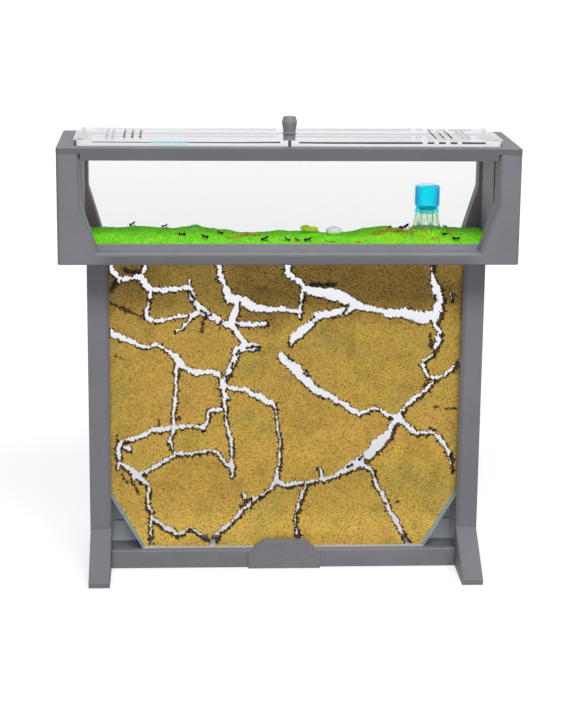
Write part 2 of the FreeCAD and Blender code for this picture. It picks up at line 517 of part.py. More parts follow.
    [(-2, 92.2, 2.0), (-1.6, 90.9, 3.2), (1.4, 88.6, 3.8), (5.7, 84, 4.1), (9.3, 80.4, 3.8), (12.9, 76.9, 3.2),
     (14.6, 74.6, 3.6), (17.1, 74.3, 2.8), (20, 72.6, 2.3), (23.6, 70.4, 2.2), (26.6, 69, 2.0), (30.3, 66.3, 2.5),
     (33.7, 64.2, 2.2), (37.4, 65.1, 1.3), (40.3, 66.7, 1.1), (43.9, 65.4, 1.1), (47.4, 63.3, 1.6), (52.1, 61.9, 3.0),
     (53.9, 65.4, 2.2), (56.7, 69, 2.1), (60.3, 71.9, 2.2), (64.6, 75.1, 1.7), (68.4, 79.6, 1.5)],
    [(52.1, 61.6, 2.8), (54.6, 59.7, 2.3), (57.4, 56.9, 2.2), (61, 54.3, 1.9), (64.6, 54.9, 1.5), (68.1, 54.7, 1.5),
     (71.7, 51.9, 1.8), (74.6, 48.3, 1.8), (76.4, 44, 1.7), (77.1, 39.6, 1.3), (77.9, 36.6, 1.0)],
    [(34, 39.4, 2.0), (38.1, 38.9, 1.7), (40.6, 37.1, 1.7), (41.7, 33.9, 1.6), (42.4, 30.3, 1.8), (45.3, 25.3, 1.9),
     (47.4, 21.7, 1.8), (49.9, 16, 2.0), (53.1, 11, 2.1), (56, 5.3, 1.9), (58.3, 1.0, 2.2)],
]


def tapered_slot(start, end):
    """Flat outline round two points, as wide at each as the gallery is there, with three flats to an end."""
    (x1, z1, w1), (x2, z2, w2) = start, end
    heading = math.atan2(z2 - z1, x2 - x1)
    lean = math.acos((w1 - w2) / 2 / math.hypot(x2 - x1, z2 - z1))
    corners = []
    for x, z, width, first, last in ((x2, z2, w2, lean, -lean), (x1, z1, w1, -lean, lean - 2 * math.pi)):
        for flat in range(4):
            angle = heading + first + (last - first) * flat / 3
            corners.append(V(x + width / 2 * math.cos(angle), 0, z + width / 2 * math.sin(angle)))
    return Part.Face(Part.makePolygon(corners + corners[:1]))


def sand_with_galleries():
    """Slab that fills the space inside the strips, less the galleries cut right through it."""
    half_width = size("nest_half_width") - size("side_strip")
    wide, tall = size("chamfer_wide"), size("chamfer_tall")
    base = size("rail_floor") + size("bottom_strip")
    shoulder, top = size("chamfer_shoulder"), size("nest_top")
    shift = size("corner_strip") * math.hypot(wide, tall) / tall
    foot = size("chamfer_foot") + wide * size("bottom_strip") / tall - shift
    bend = min(shoulder, shoulder - (size("side_strip") - shift) * tall / wide)
    right = [(foot, base), (half_width, bend), (half_width, top)]
    outline = right + [(-x, z) for x, z in reversed(right)]
    corners = [V(x, -size("sand_thick") / 2, z) for x, z in outline]
    slab = Part.Face(Part.makePolygon(corners + corners[:1])).extrude(V(0, size("sand_thick"), 0))
    stretch_x = size("nest_half_width") / DRAWN_HALF_WIDTH
    stretch_z = size("nest_height") / DRAWN_HEIGHT
    slots = []
    for run in GALLERIES:
        points = [(x * stretch_x, z * stretch_z, width) for x, z, width in run]
        for start, end in zip(points, points[1:]):
            slots.append(tapered_slot(start, end))
    network = slots[0].multiFuse(slots[1:]).removeSplitter()
    network.translate(V(0, -size("sand_thick") / 2 - 1, size("rail_floor")))
    tunnels = [face.extrude(V(0, size("sand_thick") + 2, 0)) for face in network.Faces]
    return slab.cut(tunnels)


sand = doc.addObject("Part::Feature", "sand_fill")
sand.Label = "sand_fill"
sand.Shape = sand_with_galleries()

# ---------------------------------------------------------------------------------------------------
# Foraging box: body, panes, top frame
# ---------------------------------------------------------------------------------------------------

box = new_body("outworld_body")
pad(box, "BoxBlock", "XY", "post_top", "box_height", [centred("box_half_width", "box_depth / 2")])
dress(box, "Chamfer", "BoxCorners", "box_chamfer", is_upright)
pocket(box, "Cavity", "XY", "floor_top", "box_height", [centred("cavity_half_width", "cavity_half_depth")])
WINDOW = mirrored([("waist_half_width", "sill_top"), ("cavity_half_width", "kink_level"),
                   ("cavity_half_width", "box_top + 1")])
BACK_SILL = "(waist_half_width - back_sill_step)"
BACK_HALF = "(cavity_half_width - back_window_step)"
BACK_WINDOW = mirrored([(BACK_SILL, "sill_top"), (BACK_HALF, "kink_level"), (BACK_HALF, "box_top + 1")])
LIPPED = mirrored([("lip_half_width", "lip_top"), ("cavity_half_width", "kink_level"),
                   ("cavity_half_width", "box_top + 1")])
pocket(box, "FrontWindow", "XZ", "-box_depth / 2 - 1", "plate_thick - lip_thick + 1", [WINDOW])
pocket(box, "BackWindow", "XZ", "plate_inner - 0.01", "plate_thick + 1", [BACK_WINDOW])
pocket(box, "SandLip", "XZ", "-box_depth / 2 - 1", "box_depth / 2", [LIPPED])


def window_rim(edge):
    """Edges of both windows on the outer faces of the box, not its own outline."""
    found = edge.BoundBox
    on_face = near(abs(found.YMin), size("box_depth") / 2) and near(abs(found.YMax), size("box_depth") / 2)
    inside = max(abs(found.XMin), abs(found.XMax)) < size("cavity_half_width") + 0.1
    return on_face and inside and found.ZMin > size("sill_top") - 0.1


dress(box, "Chamfer", "WindowChamfer", "window_chamfer", window_rim)
pocket(box, "BackSillFall", "YZ", "-" + BACK_SILL, "2 * " + BACK_SILL, [[
    ("plate_inner + back_sill_flat", "sill_top"), ("box_depth / 2 + 1", "sill_top - back_sill_fall"),
    ("box_depth / 2 + 1", "sill_top + window_chamfer"), ("plate_inner + back_sill_flat", "sill_top + window_chamfer")]])
GROOVE = rectangle("-(cavity_half_width + pane_bite + pane_gap)", "cavity_half_width + pane_bite + pane_gap",
                   "cavity_half_depth - 0.01", "plate_inner")
pocket(box, "BackGroove", "XY", "floor_top - pane_sink", "box_height", [GROOVE])
pocket(box, "FrontGroove", "XY", "floor_top - pane_sink", "box_height",
       [[(across, "-(%s)" % along) for across, along in GROOVE]])
pocket(box, "NestSlot", "XY", "post_top - 1", "box_floor + 2", [centred("channel_end", "channel_half")])
for side, word in ((-1, "Left"), (1, "Right")):
    pocket(box, "Socket" + word, "XY", "post_top - 1", "tenon_long + fit_gap + 1", [flipped(
        rectangle("tenon_inner - fit_gap", "tenon_outer + fit_gap",
                  "-(tenon_wide / 2 + fit_gap)", "tenon_wide / 2 + fit_gap"), side)])

for label, level in (("outworld_front_pane", "-plate_inner"), ("outworld_back_pane", "plate_inner - pane_thick")):
    pane = new_body(label)
    pad(pane, label + "Sheet", "XZ", level, "pane_thick", [
        rectangle("-(cavity_half_width + pane_bite)", "cavity_half_width + pane_bite",
                  "floor_top - pane_sink", "box_top - pane_gap")])

frame = new_body("top_frame")
pad(frame, "Flange", "XY", "box_top", "flange_thick", [centred("box_half_width", "box_depth / 2")])
dress(frame, "Chamfer", "FlangeCorners", "box_chamfer", is_upright)
BACK_SKIRT = rectangle("-(%s - slide_gap)" % BACK_HALF, BACK_HALF + " - slide_gap",
                       "plate_inner + pane_gap", "box_depth / 2")
FRONT_SKIRT = rectangle("-(cavity_half_width - slide_gap)", "cavity_half_width - slide_gap",
                        "-(box_depth / 2)", "-(plate_inner + pane_gap)")
pad(frame, "BackSkirt", "XY", "box_top - skirt_drop", "skirt_drop + 0.1", [BACK_SKIRT])
pad(frame, "FrontSkirt", "XY", "box_top - skirt_drop", "skirt_drop + 0.1", [FRONT_SKIRT])
pocket(frame, "Hatch", "XY", "box_top - 1", "flange_thick + 2", [centred("hatch_half_width", "hatch_half_depth")])
PIN_X = "(lid_half_width - pin_inset)"
PIN_Y = "(lid_half_depth - pin_inset)"
PIN_PLACES = [(PIN_X, PIN_Y), ("-" + PIN_X, PIN_Y), (PIN_X, "-" + PIN_Y), ("-" + PIN_X, "-" + PIN_Y)]
pocket(frame, "PinHoles", "XY", "frame_top - pin_root", "pin_root + 1",
       circles=[(across, along, "pin_diameter / 2") for across, along in PIN_PLACES])

# ---------------------------------------------------------------------------------------------------
# Lid, its knob and its locating pins
# ---------------------------------------------------------------------------------------------------

lid = new_body("lid_panel")
pad(lid, "LidSheet", "XY", "frame_top", "lid_thick", [centred("lid_half_width", "lid_half_depth")])
dress(lid, "Fillet", "LidCorners", "lid_corner", is_upright)
slits = []
for side in (-1, 1):
    for number in range(3):
        middle = "(lid_half_width - slit_inset + %d * slit_pitch)" % number
        slits.append(flipped(rectangle(middle + " - slit_width / 2", middle + " + slit_width / 2",
                                       "-(hatch_half_depth - slit_margin)", "hatch_half_depth - slit_margin"), side))
pocket(lid, "VentSlits", "XY", "frame_top - 1", "lid_thick + 2", slits)
vents = []
vent_rows = 1 + int((size("hatch_half_depth") - size("vent_hole") / 2 - size("vent_start")) / size("vent_row"))
for side in (-1, 1):
    for end in (-1, 1):
        for column in range(2):
            for step in range(vent_rows):
                vents.append(("%d * (lid_half_width - vent_inset + %d * vent_pitch)" % (side, column),
                              "%d * (vent_start + %d * vent_row)" % (end, step), "vent_hole / 2"))
pocket(lid, "VentPatches", "XY", "frame_top - 1", "lid_thick + 2", circles=vents)
KNOB_Y = "(-lid_half_depth + knob_inset)"
pocket(lid, "CornerHoles", "XY", "frame_top - 1", "lid_thick + 2",
       circles=[(across, along, "pin_diameter / 2 + pin_slack") for across, along in PIN_PLACES])
pocket(lid, "KnobHole", "XY", "frame_top - 1", "lid_thick + 2", circles=[("0", KNOB_Y, "stem_radius")])

knob = new_body("lid_knob")
COLLAR_LOW = "(lid_top + knob_base)"
revolve(knob, "KnobTurned", [
    ("0", "frame_top"), ("stem_radius", "frame_top"), ("stem_radius", "lid_top"), ("knob_waist", "lid_top"),
    ("knob_waist", COLLAR_LOW), ("knob_radius", COLLAR_LOW + " + knob_collar / 2"),
    ("knob_waist", COLLAR_LOW + " + knob_collar"),
    ("knob_waist", COLLAR_LOW + " + knob_collar + 0.4"),
    ("knob_radius", "lid_top + knob_height * 0.72"),
    ("knob_radius", "lid_top + knob_height * 0.8"),
    ("knob_waist", "lid_top + knob_height"), ("0", "lid_top + knob_height")])


def knob_shoulder(edge):
    found = edge.BoundBox
    height = size("lid_top") + size("knob_height") * 0.8
    return found.ZLength < 0.01 and near(found.ZMin, height) and near(found.XMax, size("knob_radius"))


dress(knob, "Fillet", "KnobShoulder", "0.9", knob_shoulder)
knob.setExpression("Placement.Base.y", bound(KNOB_Y))

pins = []
for number, (across, along) in enumerate(PIN_PLACES, start=1):
    pin = doc.addObject("Part::Cylinder", "Pin%d" % number)
    pin.setExpression("Radius", bound("pin_diameter / 2"))
    pin.setExpression("Height", bound("pin_root + pin_height"))
    pin.setExpression("Placement.Base.x", bound(across))
    pin.setExpression("Placement.Base.y", bound(along))
    pin.setExpression("Placement.Base.z", bound("frame_top - pin_root"))
    pins.append(pin)
pin_group = doc.addObject("Part::Compound", "lid_locating_pins")
pin_group.Label = "lid_locating_pins"
pin_group.Links = pins

# ---------------------------------------------------------------------------------------------------
# Inside the box: sand bed, drinker and pebbles
# ---------------------------------------------------------------------------------------------------

bed = new_body("green_sand_bed")
pad(bed, "SandBed", "XY", "floor_top", "bed_height", [
    centred("cavity_half_width - bed_gap", "cavity_half_depth - bed_gap")])

stand = new_body("drinker_base")
FLARE = "(stand_radius - stand_top)"
revolve(stand, "StandTurned", [
    ("0", "bed_top"), ("stand_radius", "bed_top"), ("stand_radius", "bed_top + stand_rim"),
    ("stand_radius - 0.38 * " + FLARE, "bed_top + stand_rim + 0.16 * stand_height"),
    ("stand_radius - 0.68 * " + FLARE, "bed_top + stand_rim + 0.38 * stand_height"),
    ("stand_radius - 0.88 * " + FLARE, "bed_top + stand_rim + 0.62 * stand_height"),
    ("stand_top", "seat_level"), ("neck_radius + slide_gap", "seat_level"),
    ("neck_radius + slide_gap", "seat_level - neck_long - fit_gap"), ("0", "seat_level - neck_long - fit_gap")])
RIB_ROOT = "(neck_radius + slide_gap + rib_thick)"
pad(stand, "FirstRib", "XZ", "-rib_thick / 2", "rib_thick", [[
    (RIB_ROOT, "bed_top"), ("stand_radius", "bed_top"), ("stand_radius", "bed_top + stand_rim"),
    ("stand_top + 0.4 * " + FLARE + " + rib_proud", "bed_top + stand_rim + 0.25 * stand_height"),
    ("stand_top + rib_proud", "seat_level"), (RIB_ROOT, "seat_level")]])
ribs = stand.newObject("PartDesign::PolarPattern", "Ribs")
ribs.Originals = [doc.getObject("FirstRib")]
ribs.Axis = (next(item for item in stand.Origin.OriginFeatures if item.Role == "Z_Axis"), [""])
ribs.Angle = 360
ribs.Occurrences = 10
stand.Tip = ribs
bottle = new_body("drinker_bottle")
CUP_TOP = "(seat_level + cup_height)"
revolve(bottle, "BottleTurned", [
    ("0", "seat_level - neck_long"), ("neck_radius", "seat_level - neck_long"), ("neck_radius", "seat_level"),
    ("cup_radius", "seat_level"), ("cup_radius", CUP_TOP), ("0", CUP_TOP)])


def bottle_rim(level):
    """Picks the outer edge of the bottle at a level."""
    def picked(edge):
        found = edge.BoundBox
        return found.ZLength < 0.01 and near(found.ZMin, level) and near(found.XMax, size("cup_radius"))
    return picked


dress(bottle, "Fillet", "BottleFoot", "cup_round", bottle_rim(size("seat_level")))
dress(bottle, "Fillet", "BottleEdge", "cup_edge", bottle_rim(size("seat_level") + size("cup_height")))
groove = place_sketch(bottle, "BottleHollowProfile", "XZ", "0")
draw_outline(groove, [
    ("0", "seat_level + cup_wall"), ("cup_radius - cup_round", "seat_level + cup_wall"),
    ("cup_radius - cup_wall", "seat_level + cup_round"), ("cup_radius - cup_wall", CUP_TOP + " - cup_wall"),
    ("0", CUP_TOP + " - cup_wall")])
hollow = bottle.newObject("PartDesign::Groove", "BottleHollow")
hollow.Profile = groove
hollow.ReferenceAxis = (groove, ["V_Axis"])
hollow.Angle = 360
water = new_body("drinker_water")
revolve(water, "WaterBody", [
    ("0", "seat_level + cup_wall"), ("cup_radius - cup_round", "seat_level + cup_wall"),
    ("cup_radius - cup_wall", "seat_level + cup_round"),
    ("cup_radius - cup_wall", CUP_TOP + " - cup_wall - water_gap"), ("0", CUP_TOP + " - cup_wall - water_gap")])
for piece in (stand, bottle, water):
    piece.setExpression("Placement.Base.x", bound("cavity_half_width - drinker_inset"))
    piece.setExpression("Placement.Base.y", bound("cavity_half_depth - stand_radius - drinker_clear"))

# Pebbles: flattened ellipsoids with a flat underside on the sand.
# Columns: name, place across, distance of the middle from the back pane, half sizes, turn.
PEBBLES = [("green_pebble", 11.0, 7.8, 4.2, 3.0, 2.3, 12), ("white_pebble", 21.6, 14.5, 3.7, 2.9, 2.7, -20)]
for label, across, from_pane, half_long, half_wide, half_tall, turn in PEBBLES:
    pebble = doc.addObject("Part::Feature", label)
    pebble.Label = label
    ball = Part.makeSphere(1.0, V(0, 0, 0), V(0, 0, 1), -28, 90, 360)
    scale = FreeCAD.Matrix()
    scale.scale(V(half_long, half_wide, half_tall))
    pebble.Shape = ball.transformGeometry(scale)
    lift = half_tall * math.sin(math.radians(28))
    along = size("cavity_half_depth") - from_pane
    pebble.Placement = FreeCAD.Placement(V(across, along, size("bed_top") + lift),
                                         FreeCAD.Rotation(V(0, 0, 1), turn))

# ---------------------------------------------------------------------------------------------------
# Check and write every piece
# ---------------------------------------------------------------------------------------------------

doc.recompute()
failed = [item.Label for item in doc.Objects if "Invalid" in item.State or "Error" in item.State]
if failed:
    raise RuntimeError("features failed: " + ", ".join(failed))

pieces = [item for item in doc.Objects if item.TypeId == "PartDesign::Body"]
pieces += [sand, pin_group] + [doc.getObject(entry[0]) for entry in PEBBLES]
os.makedirs("parts", exist_ok=True)
for piece in pieces:
    shape = piece.Shape
    if shape.isNull() or not shape.isValid() or not shape.Solids:
        raise RuntimeError("bad solid: " + piece.Label)
    shape.exportStep("parts/%s.step" % piece.Label)
    print("%-28s solids %2d  volume %10.2f mm3" % (piece.Label, len(shape.Solids), shape.Volume))
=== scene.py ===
import random
from functools import partial
from math import cos, exp, hypot, pi, radians, sin, tan

import bpy
from mathutils import Matrix, Vector
from mathutils.noise import noise as perlin
from mathutils.geometry import delaunay_2d_cdt


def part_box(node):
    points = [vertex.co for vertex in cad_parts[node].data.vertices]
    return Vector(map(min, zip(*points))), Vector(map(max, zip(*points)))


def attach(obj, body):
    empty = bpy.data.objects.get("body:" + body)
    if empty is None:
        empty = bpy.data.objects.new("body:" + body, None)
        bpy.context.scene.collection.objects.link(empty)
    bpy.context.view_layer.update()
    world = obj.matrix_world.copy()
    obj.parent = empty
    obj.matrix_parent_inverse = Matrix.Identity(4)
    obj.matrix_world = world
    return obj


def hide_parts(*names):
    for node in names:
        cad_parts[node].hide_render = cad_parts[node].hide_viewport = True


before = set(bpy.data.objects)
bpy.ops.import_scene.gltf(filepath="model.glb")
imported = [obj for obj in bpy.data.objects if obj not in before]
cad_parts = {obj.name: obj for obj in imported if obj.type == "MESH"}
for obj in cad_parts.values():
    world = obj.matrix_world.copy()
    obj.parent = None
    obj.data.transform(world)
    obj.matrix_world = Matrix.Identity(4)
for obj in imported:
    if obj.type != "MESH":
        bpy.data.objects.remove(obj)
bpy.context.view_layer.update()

BOXES = {node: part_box(node) for node in ("green_sand_bed", "drinker_base", "green_pebble", "white_pebble")}
MM = 0.001
WHITE = (1, 1, 1, 1)


# ==== Camera, floor, light

PHOTO_HEIGHT = 713
FOCAL_PIXELS = 1946.46
SENSOR = 36
CAMERA_MM = (-46.45, -856.38, 309.41)
# Pitch, yaw and roll in degrees.
CAMERA_TURNS = (-13.89, 3.11, 0.58)
FLOOR_HALF = 6
FLOOR_DROP = 0.0002
# Name, place, height aimed at on the object, size, watts.
LAMPS = [
    ("key_softbox", (0.12, -0.98, 1.2), 0.11, (1, 0.45), 17),
    ("top_softbox", (0.1, 0.15, 1.35), 0.11, (1, 0.8), 4.5),
    ("front_softbox", (0.1, -1.8, 0.32), 0.1, (1, 0.5), 5),
    ("back_softbox_-1", (-1.35, 0.95, 0.4), 0.1, (0.8, 0.5), 2.6),
    ("back_softbox_1", (1.35, 0.95, 0.4), 0.1, (0.8, 0.5), 2.6),
]


def add_object(name, data):
    made = bpy.data.objects.new(name, data)
    bpy.context.collection.objects.link(made)
    return made


def make_camera():
    """Camera from the fitted view of the photo."""
    pitch, yaw, roll = map(radians, CAMERA_TURNS)
    data = bpy.data.cameras.new("main_camera")
    data.sensor_fit = "AUTO"
    data.sensor_width = SENSOR
    data.lens = FOCAL_PIXELS * SENSOR / PHOTO_HEIGHT
    data.clip_start = 0.01
    ahead = Vector((sin(yaw) * cos(pitch), cos(yaw) * cos(pitch), sin(pitch)))
    side = Vector((cos(yaw), -sin(yaw), 0))
    top = side.cross(ahead)
    right = side * cos(roll) + top * sin(roll)
    up = top * cos(roll) - side * sin(roll)
    turned = Matrix((right, up, -ahead)).transposed().to_4x4()
    camera = add_object("main_camera", data)
    camera.matrix_world = Matrix.Translation(Vector(CAMERA_MM) * MM) @ turned
    bpy.context.scene.camera = camera


def new_tree(owner):
    """Start the node tree of a material or world. The functions below add to the tree started last."""
    global OWNER
    OWNER = owner
    owner.use_nodes = True
    owner.node_tree.nodes.clear()


def new_material(name):
    """Start a material. Gives the place on the object."""
    new_tree(bpy.data.materials.new(name))
    return add("TexCoord").outputs["Object"]


def add(kind, settings=None, **inputs):
    """A node. Inputs go by name, with _ for a space, or by number as i0."""
    tree = OWNER.node_tree
    node = tree.nodes.new("ShaderNode" + kind)
    for name, value in (settings or {}).items():
        setattr(node, name, value)
    for name, value in inputs.items():
        socket = node.inputs[int(name[1:]) if name[1:].isdigit() else name.replace("_", " ")]
        if isinstance(value, bpy.types.Node):
            value = value.outputs[0]
        if isinstance(value, bpy.types.NodeSocket):
            tree.links.new(value, socket)
        else:
            socket.default_value = value
    return node


def calc(operation, first, second=0, third=0, clamp=False):
    return add("Math", {"operation": operation, "use_clamp": clamp}, i0=first, i1=second, i2=third)


# scaled: value * factor + shift. near: 1 within the third value of the second. size: without its sign.
plus, minus, times, scaled, larger, smaller, below, above, near, size = (
    partial(calc, operation) for operation in (
        "ADD", "SUBTRACT", "MULTIPLY", "MULTIPLY_ADD", "MAXIMUM", "MINIMUM", "LESS_THAN", "GREATER_THAN",
        "COMPARE", "ABSOLUTE"))


def spread(value, low, high, to_low=0, to_high=1):
    """Value from low to high, mapped to to_low to to_high."""
    return add("MapRange", Value=value, From_Min=low, From_Max=high, To_Min=to_low, To_Max=to_high)


def vector(operation, first, second=(0, 0, 0)):
    node = add("VectorMath", {"operation": operation}, i0=first, i1=second)
    return node.outputs["Value" if operation in ("LENGTH", "DISTANCE", "DOT_PRODUCT") else "Vector"]


stretched = partial(vector, "MULTIPLY")


def split(place):
    return add("SeparateXYZ", Vector=place).outputs


def normal():
    return split(add("TexCoord").outputs["Normal"])


def noise(place, scale, detail=2, roughness=0.5, distortion=0):
    return add("TexNoise", Vector=place, Scale=scale, Detail=detail, Roughness=roughness,
               Distortion=distortion)


def ramp(factor, stops):
    node = add("ValToRGB", Fac=factor)
    elements = node.color_ramp.elements
    while len(elements) < len(stops):
        elements.new(0.5)
    for element, (place, colour) in zip(elements, stops):
        element.position = place
        element.color = (*colour[:3], 1)
    return node


def mix(factor, first, second, blend_type="MIX"):
    settings = {"data_type": "RGBA", "blend_type": blend_type}
    return add("Mix", settings, i0=factor, i6=first, i7=second).outputs[2]


def tinted(colour, tint, where=1):
    """Colour multiplied by a tint, everywhere or as far as where is 1."""
    product = mix(1, colour, tint, "MULTIPLY")
    return product if where == 1 else mix(where, colour, product)


def bump(height, strength, distance):
    return add("Bump", Height=height, Strength=strength, Distance=distance)


def clear(colour):
    return add("BsdfTransparent", Color=colour)


def solid(colour, rough, gloss=0.5, **more):
    return add("BsdfPrincipled", Base_Color=colour, Roughness=rough, Specular_IOR_Level=gloss, **more)


def blend(share, first, second):
    return add("MixShader", Fac=share, i1=first, i2=second)


def surface(shader, output="OutputMaterial"):
    add(output, Surface=shader)
    return OWNER


def srgb(*screen):
    """Linear colour from screen values of 0 to 255."""
    parts = (value / 255 for value in screen)
    return (*(part / 12.92 if part <= 0.04045 else ((part + 0.055) / 1.055) ** 2.4 for part in parts), 1)


def seen_ray():
    """1 for rays that show the background itself: from the camera, in a mirror or through glass."""
    path = add("LightPath").outputs
    return larger(larger(path["Is Camera Ray"], path["Is Glossy Ray"]), path["Is Transmission Ray"])


def make_stage():
    world = bpy.data.worlds.new("studio")
    bpy.context.scene.world = world
    new_tree(world)
    soft = add("Background", Color=(0.96, 0.98, 1, 1), Strength=0.22)
    plain = add("Background", Color=WHITE, Strength=1)
    surface(blend(seen_ray(), soft, plain), "OutputWorld")

    mesh = bpy.data.meshes.new("studio_floor")
    half = FLOOR_HALF
    corners = [(-half, -half, 0), (half, -half, 0), (half, half, 0), (-half, half, 0)]
    mesh.from_pydata(corners, [], [(0, 1, 2, 3)])
    floor = add_object("studio_floor", mesh)
    floor.location.z = -FLOOR_DROP
    place = new_material("studio_floor")
    matt = add("BsdfDiffuse", Color=(0.42, 0.42, 0.42, 1))
    level = spread(vector("LENGTH", place), 0.2, 1.3, 0.66, 1)
    glow = add("Emission", Color=WHITE, Strength=times(seen_ray(), level))
    mesh.materials.append(surface(add("AddShader", i0=matt, i1=glow)))

    for name, place, aim, size, power in LAMPS:
        data = bpy.data.lights.new(name, "AREA")
        data.shape = "RECTANGLE"
        data.size, data.size_y = size
        data.energy = power
        lamp = add_object(name, data)
        lamp.location = place
        lamp.rotation_euler = (Vector((0, 0, aim)) - Vector(place)).to_track_quat("-Z", "Y").to_euler()


# ==== Materials

# Heights of the sill's front lip, which gets painted shade, and of its step, which gets a painted highlight.
SILL_HEIGHT = 0.0052
SILL_STEP = 0.0025


def printed(name, along, tone=1, forward=None, inner=None, inner_half=0, sill=None):
    """Grey filament plastic with printed lines along one axis, X or Z.

    forward = (y from, y to, factor) scales the tone of faces that look forward there: painted light where
    the factor is above 1, painted shade where it is below 1. inner paints light into the box's faces that
    look inwards within inner_half of y = 0, and into its rear wall. sill = (half width, top, front) gives the
    front window's sill painted shade on its lip, darker towards the bottom, and a painted highlight on its
    step.
    """
    place = new_material(name)
    x, y, z = split(place)
    normal_x, normal_y, _ = normal()
    across, squeeze = {"X": ("Z", (0.05, 1, 1)), "Z": ("Y", (1, 1, 0.05))}[along]
    layers = add("TexWave", {"wave_type": "BANDS", "bands_direction": across}, Vector=place,
                 Scale=1050, Distortion=0.8, Detail=1, Detail_Scale=0.3).outputs[1]
    fine = noise(stretched(place, squeeze), 2600, 2, 0.6)
    grain = noise(place, 1500, 2, 0.7)
    cloud = noise(place, 30, 3, 0.5)
    mottle = plus(plus(times(fine, 0.3), times(grain, 0.3)), times(cloud, 0.4))
    low, high = ([channel * tone for channel in srgb(*grey)] for grey in ((111, 111, 117), (123, 123, 129)))
    colour = ramp(mottle, [(0.38, low), (0.62, high)])
    looks_forward = below(normal_y, -0.5)
    # Painted tone on faces that look forward in a band of y: painted light for a factor above 1, painted
    # shade for one below 1.
    if forward:
        start, end, factor = forward
        band = near(y, (start + end) / 2, (end - start) / 2)
        colour = tinted(colour, (factor, factor, factor, 1), times(band, looks_forward))
    # Painted light: a pale tint on the box's inward faces between the panes and on its rear wall, where its
    # inside lies in shade.
    if inner:
        looks_in = below(times(normal_x, x), -0.05)
        between_panes = near(y, 0, inner_half)
        rear = times(looks_forward, above(y, 0))
        colour = tinted(colour, inner, larger(times(looks_in, between_panes), rear))
    # Painted shade on the sill's front lip, darker towards the bottom, and a painted highlight on the step
    # above it.
    if sill:
        half, top, front = sill
        fade = spread(size(x), half + 0.002, half - 0.006)
        low_part = times(fade, below(z, top + SILL_STEP))
        at_front = below(y, front + 0.0005)
        before_pane = below(y, -inner_half - 0.002)
        step = times(low_part, minus(before_pane, at_front, clamp=True))
        step = times(step, above(z, top - 0.001))
        fall = ramp(scaled(z, 1 / SILL_HEIGHT, -(top - SILL_HEIGHT) / SILL_HEIGHT),
                    [(0, (0.66, 0.66, 0.66)), (1, (0.8, 0.8, 0.8))])
        colour = tinted(colour, fall, times(low_part, at_front))
        colour = tinted(colour, (1.25, 1.25, 1.25, 1), step)
    height = plus(times(layers, 0.8), times(grain, 0.5))
    return surface(solid(colour, scaled(fine, 0.16, 0.42), 0.32, Normal=bump(height, 0.3, 0.00008)))


def glancing(straight_on):
    """Share of light that a smooth clear face mirrors: little straight on, much at a glancing angle."""
    facing = add("LayerWeight", Blend=0.5).outputs["Facing"]
    return scaled(calc("POWER", facing, 5), 0.85, straight_on)


def acrylic(name, passed, edge, edge_share, mirrored, frost=0):
    """Cast acrylic: nearly clear through its faces, tinted where seen through an edge; frost dulls it."""
    place = new_material(name)
    edge = srgb(*edge)
    haze = noise(place, 45, 3, 0.5)
    mirror = add("BsdfGlossy", Color=WHITE, Roughness=scaled(haze, 0.05, 0.01))
    face = blend(glancing(mirrored), clear(srgb(*passed)), mirror)
    if frost:
        dull = add("BsdfDiffuse", Color=edge)
        face = blend(scaled(haze, 0.2, frost - 0.1), face, dull)
    light_edge = [min(1, channel * 1.35) for channel in edge]
    tint = mix(noise(place, 900, 2, 0.6), edge, light_edge)
    rim = blend(edge_share, clear(tint), solid(tint, 0.3))
    flat = above(size(normal()[1]), 0.6)
    return surface(blend(flat, rim, face))


# The lid's painted dark line, standing in for the frame seen through its front edge: height, thickness,
# breaks, blue part, ends.
LID_LINE = 0.0016
LID_LINE_THICK = (0.0002, 0.00045)
LID_BREAKS = (0.066, 0.009)
LID_BLUE = (-0.052, 0.008)
LID_LINE_SHORT = 0.008
KNOB_HALF, STEM_HALF = 0.004, 0.0007


def lid_sheet(low, high):
    """Clear lid: pale through its face, with a painted dark line low in its front edge,
    standing in for the frame seen through that edge.

    The line grows thicker to the right, is broken under the vent slits and turns light blue on the left.
    """
    place = new_material("lid_sheet")
    x, y, z = split(place)
    haze = noise(stretched(place, (1, 3, 3)), 30, 3, 0.5)
    mirror = add("BsdfGlossy", Color=(0.97, 0.965, 1, 1), Roughness=scaled(haze, 0.06, 0.02))
    sheen = plus(glancing(0.25), scaled(haze, 0.2, -0.1), clamp=True)
    face = blend(sheen, clear(WHITE), mirror)
    uneven = scaled(noise(place, 60, 2, 0.5), 0.0004, -0.0002)
    level = plus(minus(z, low[2]), uneven)
    thick = spread(x, -0.05, 0.04, *LID_LINE_THICK)
    # Painted dark line in the front edge, standing in for the frame seen through it.
    line = below(size(minus(level, LID_LINE)), thick)
    side = size(x)
    line = times(line, above(side, KNOB_HALF))
    line = times(line, below(side, high[0] - LID_LINE_SHORT))
    breaks = above(calc("SINE", scaled(x, 1250, 0.6)), scaled(near(x, *LID_BREAKS), 1.2, -1.5))
    line = larger(times(line, breaks), below(side, STEM_HALF))
    outer = above(size(y), high[1] - 0.0004)
    blue = near(x, *LID_BLUE)
    pale = ramp(noise(place, 60, 2, 0.6), [(0.4, srgb(248, 251, 252)), (0.6, WHITE)])
    pale = mix(times(times(blue, outer), 0.25), pale, srgb(170, 222, 232))
    cut = mix(line, pale, mix(blue, srgb(74, 76, 82), srgb(108, 188, 206)))
    rim = blend(scaled(outer, 0.7, 0.12), clear(cut), solid(cut, 0.25))
    flat = above(size(normal()[2]), 0.6)
    return surface(blend(flat, rim, face))


# Marks on the nest are in mm from its middle and up from this height.
NEST_FOOT = 6.5
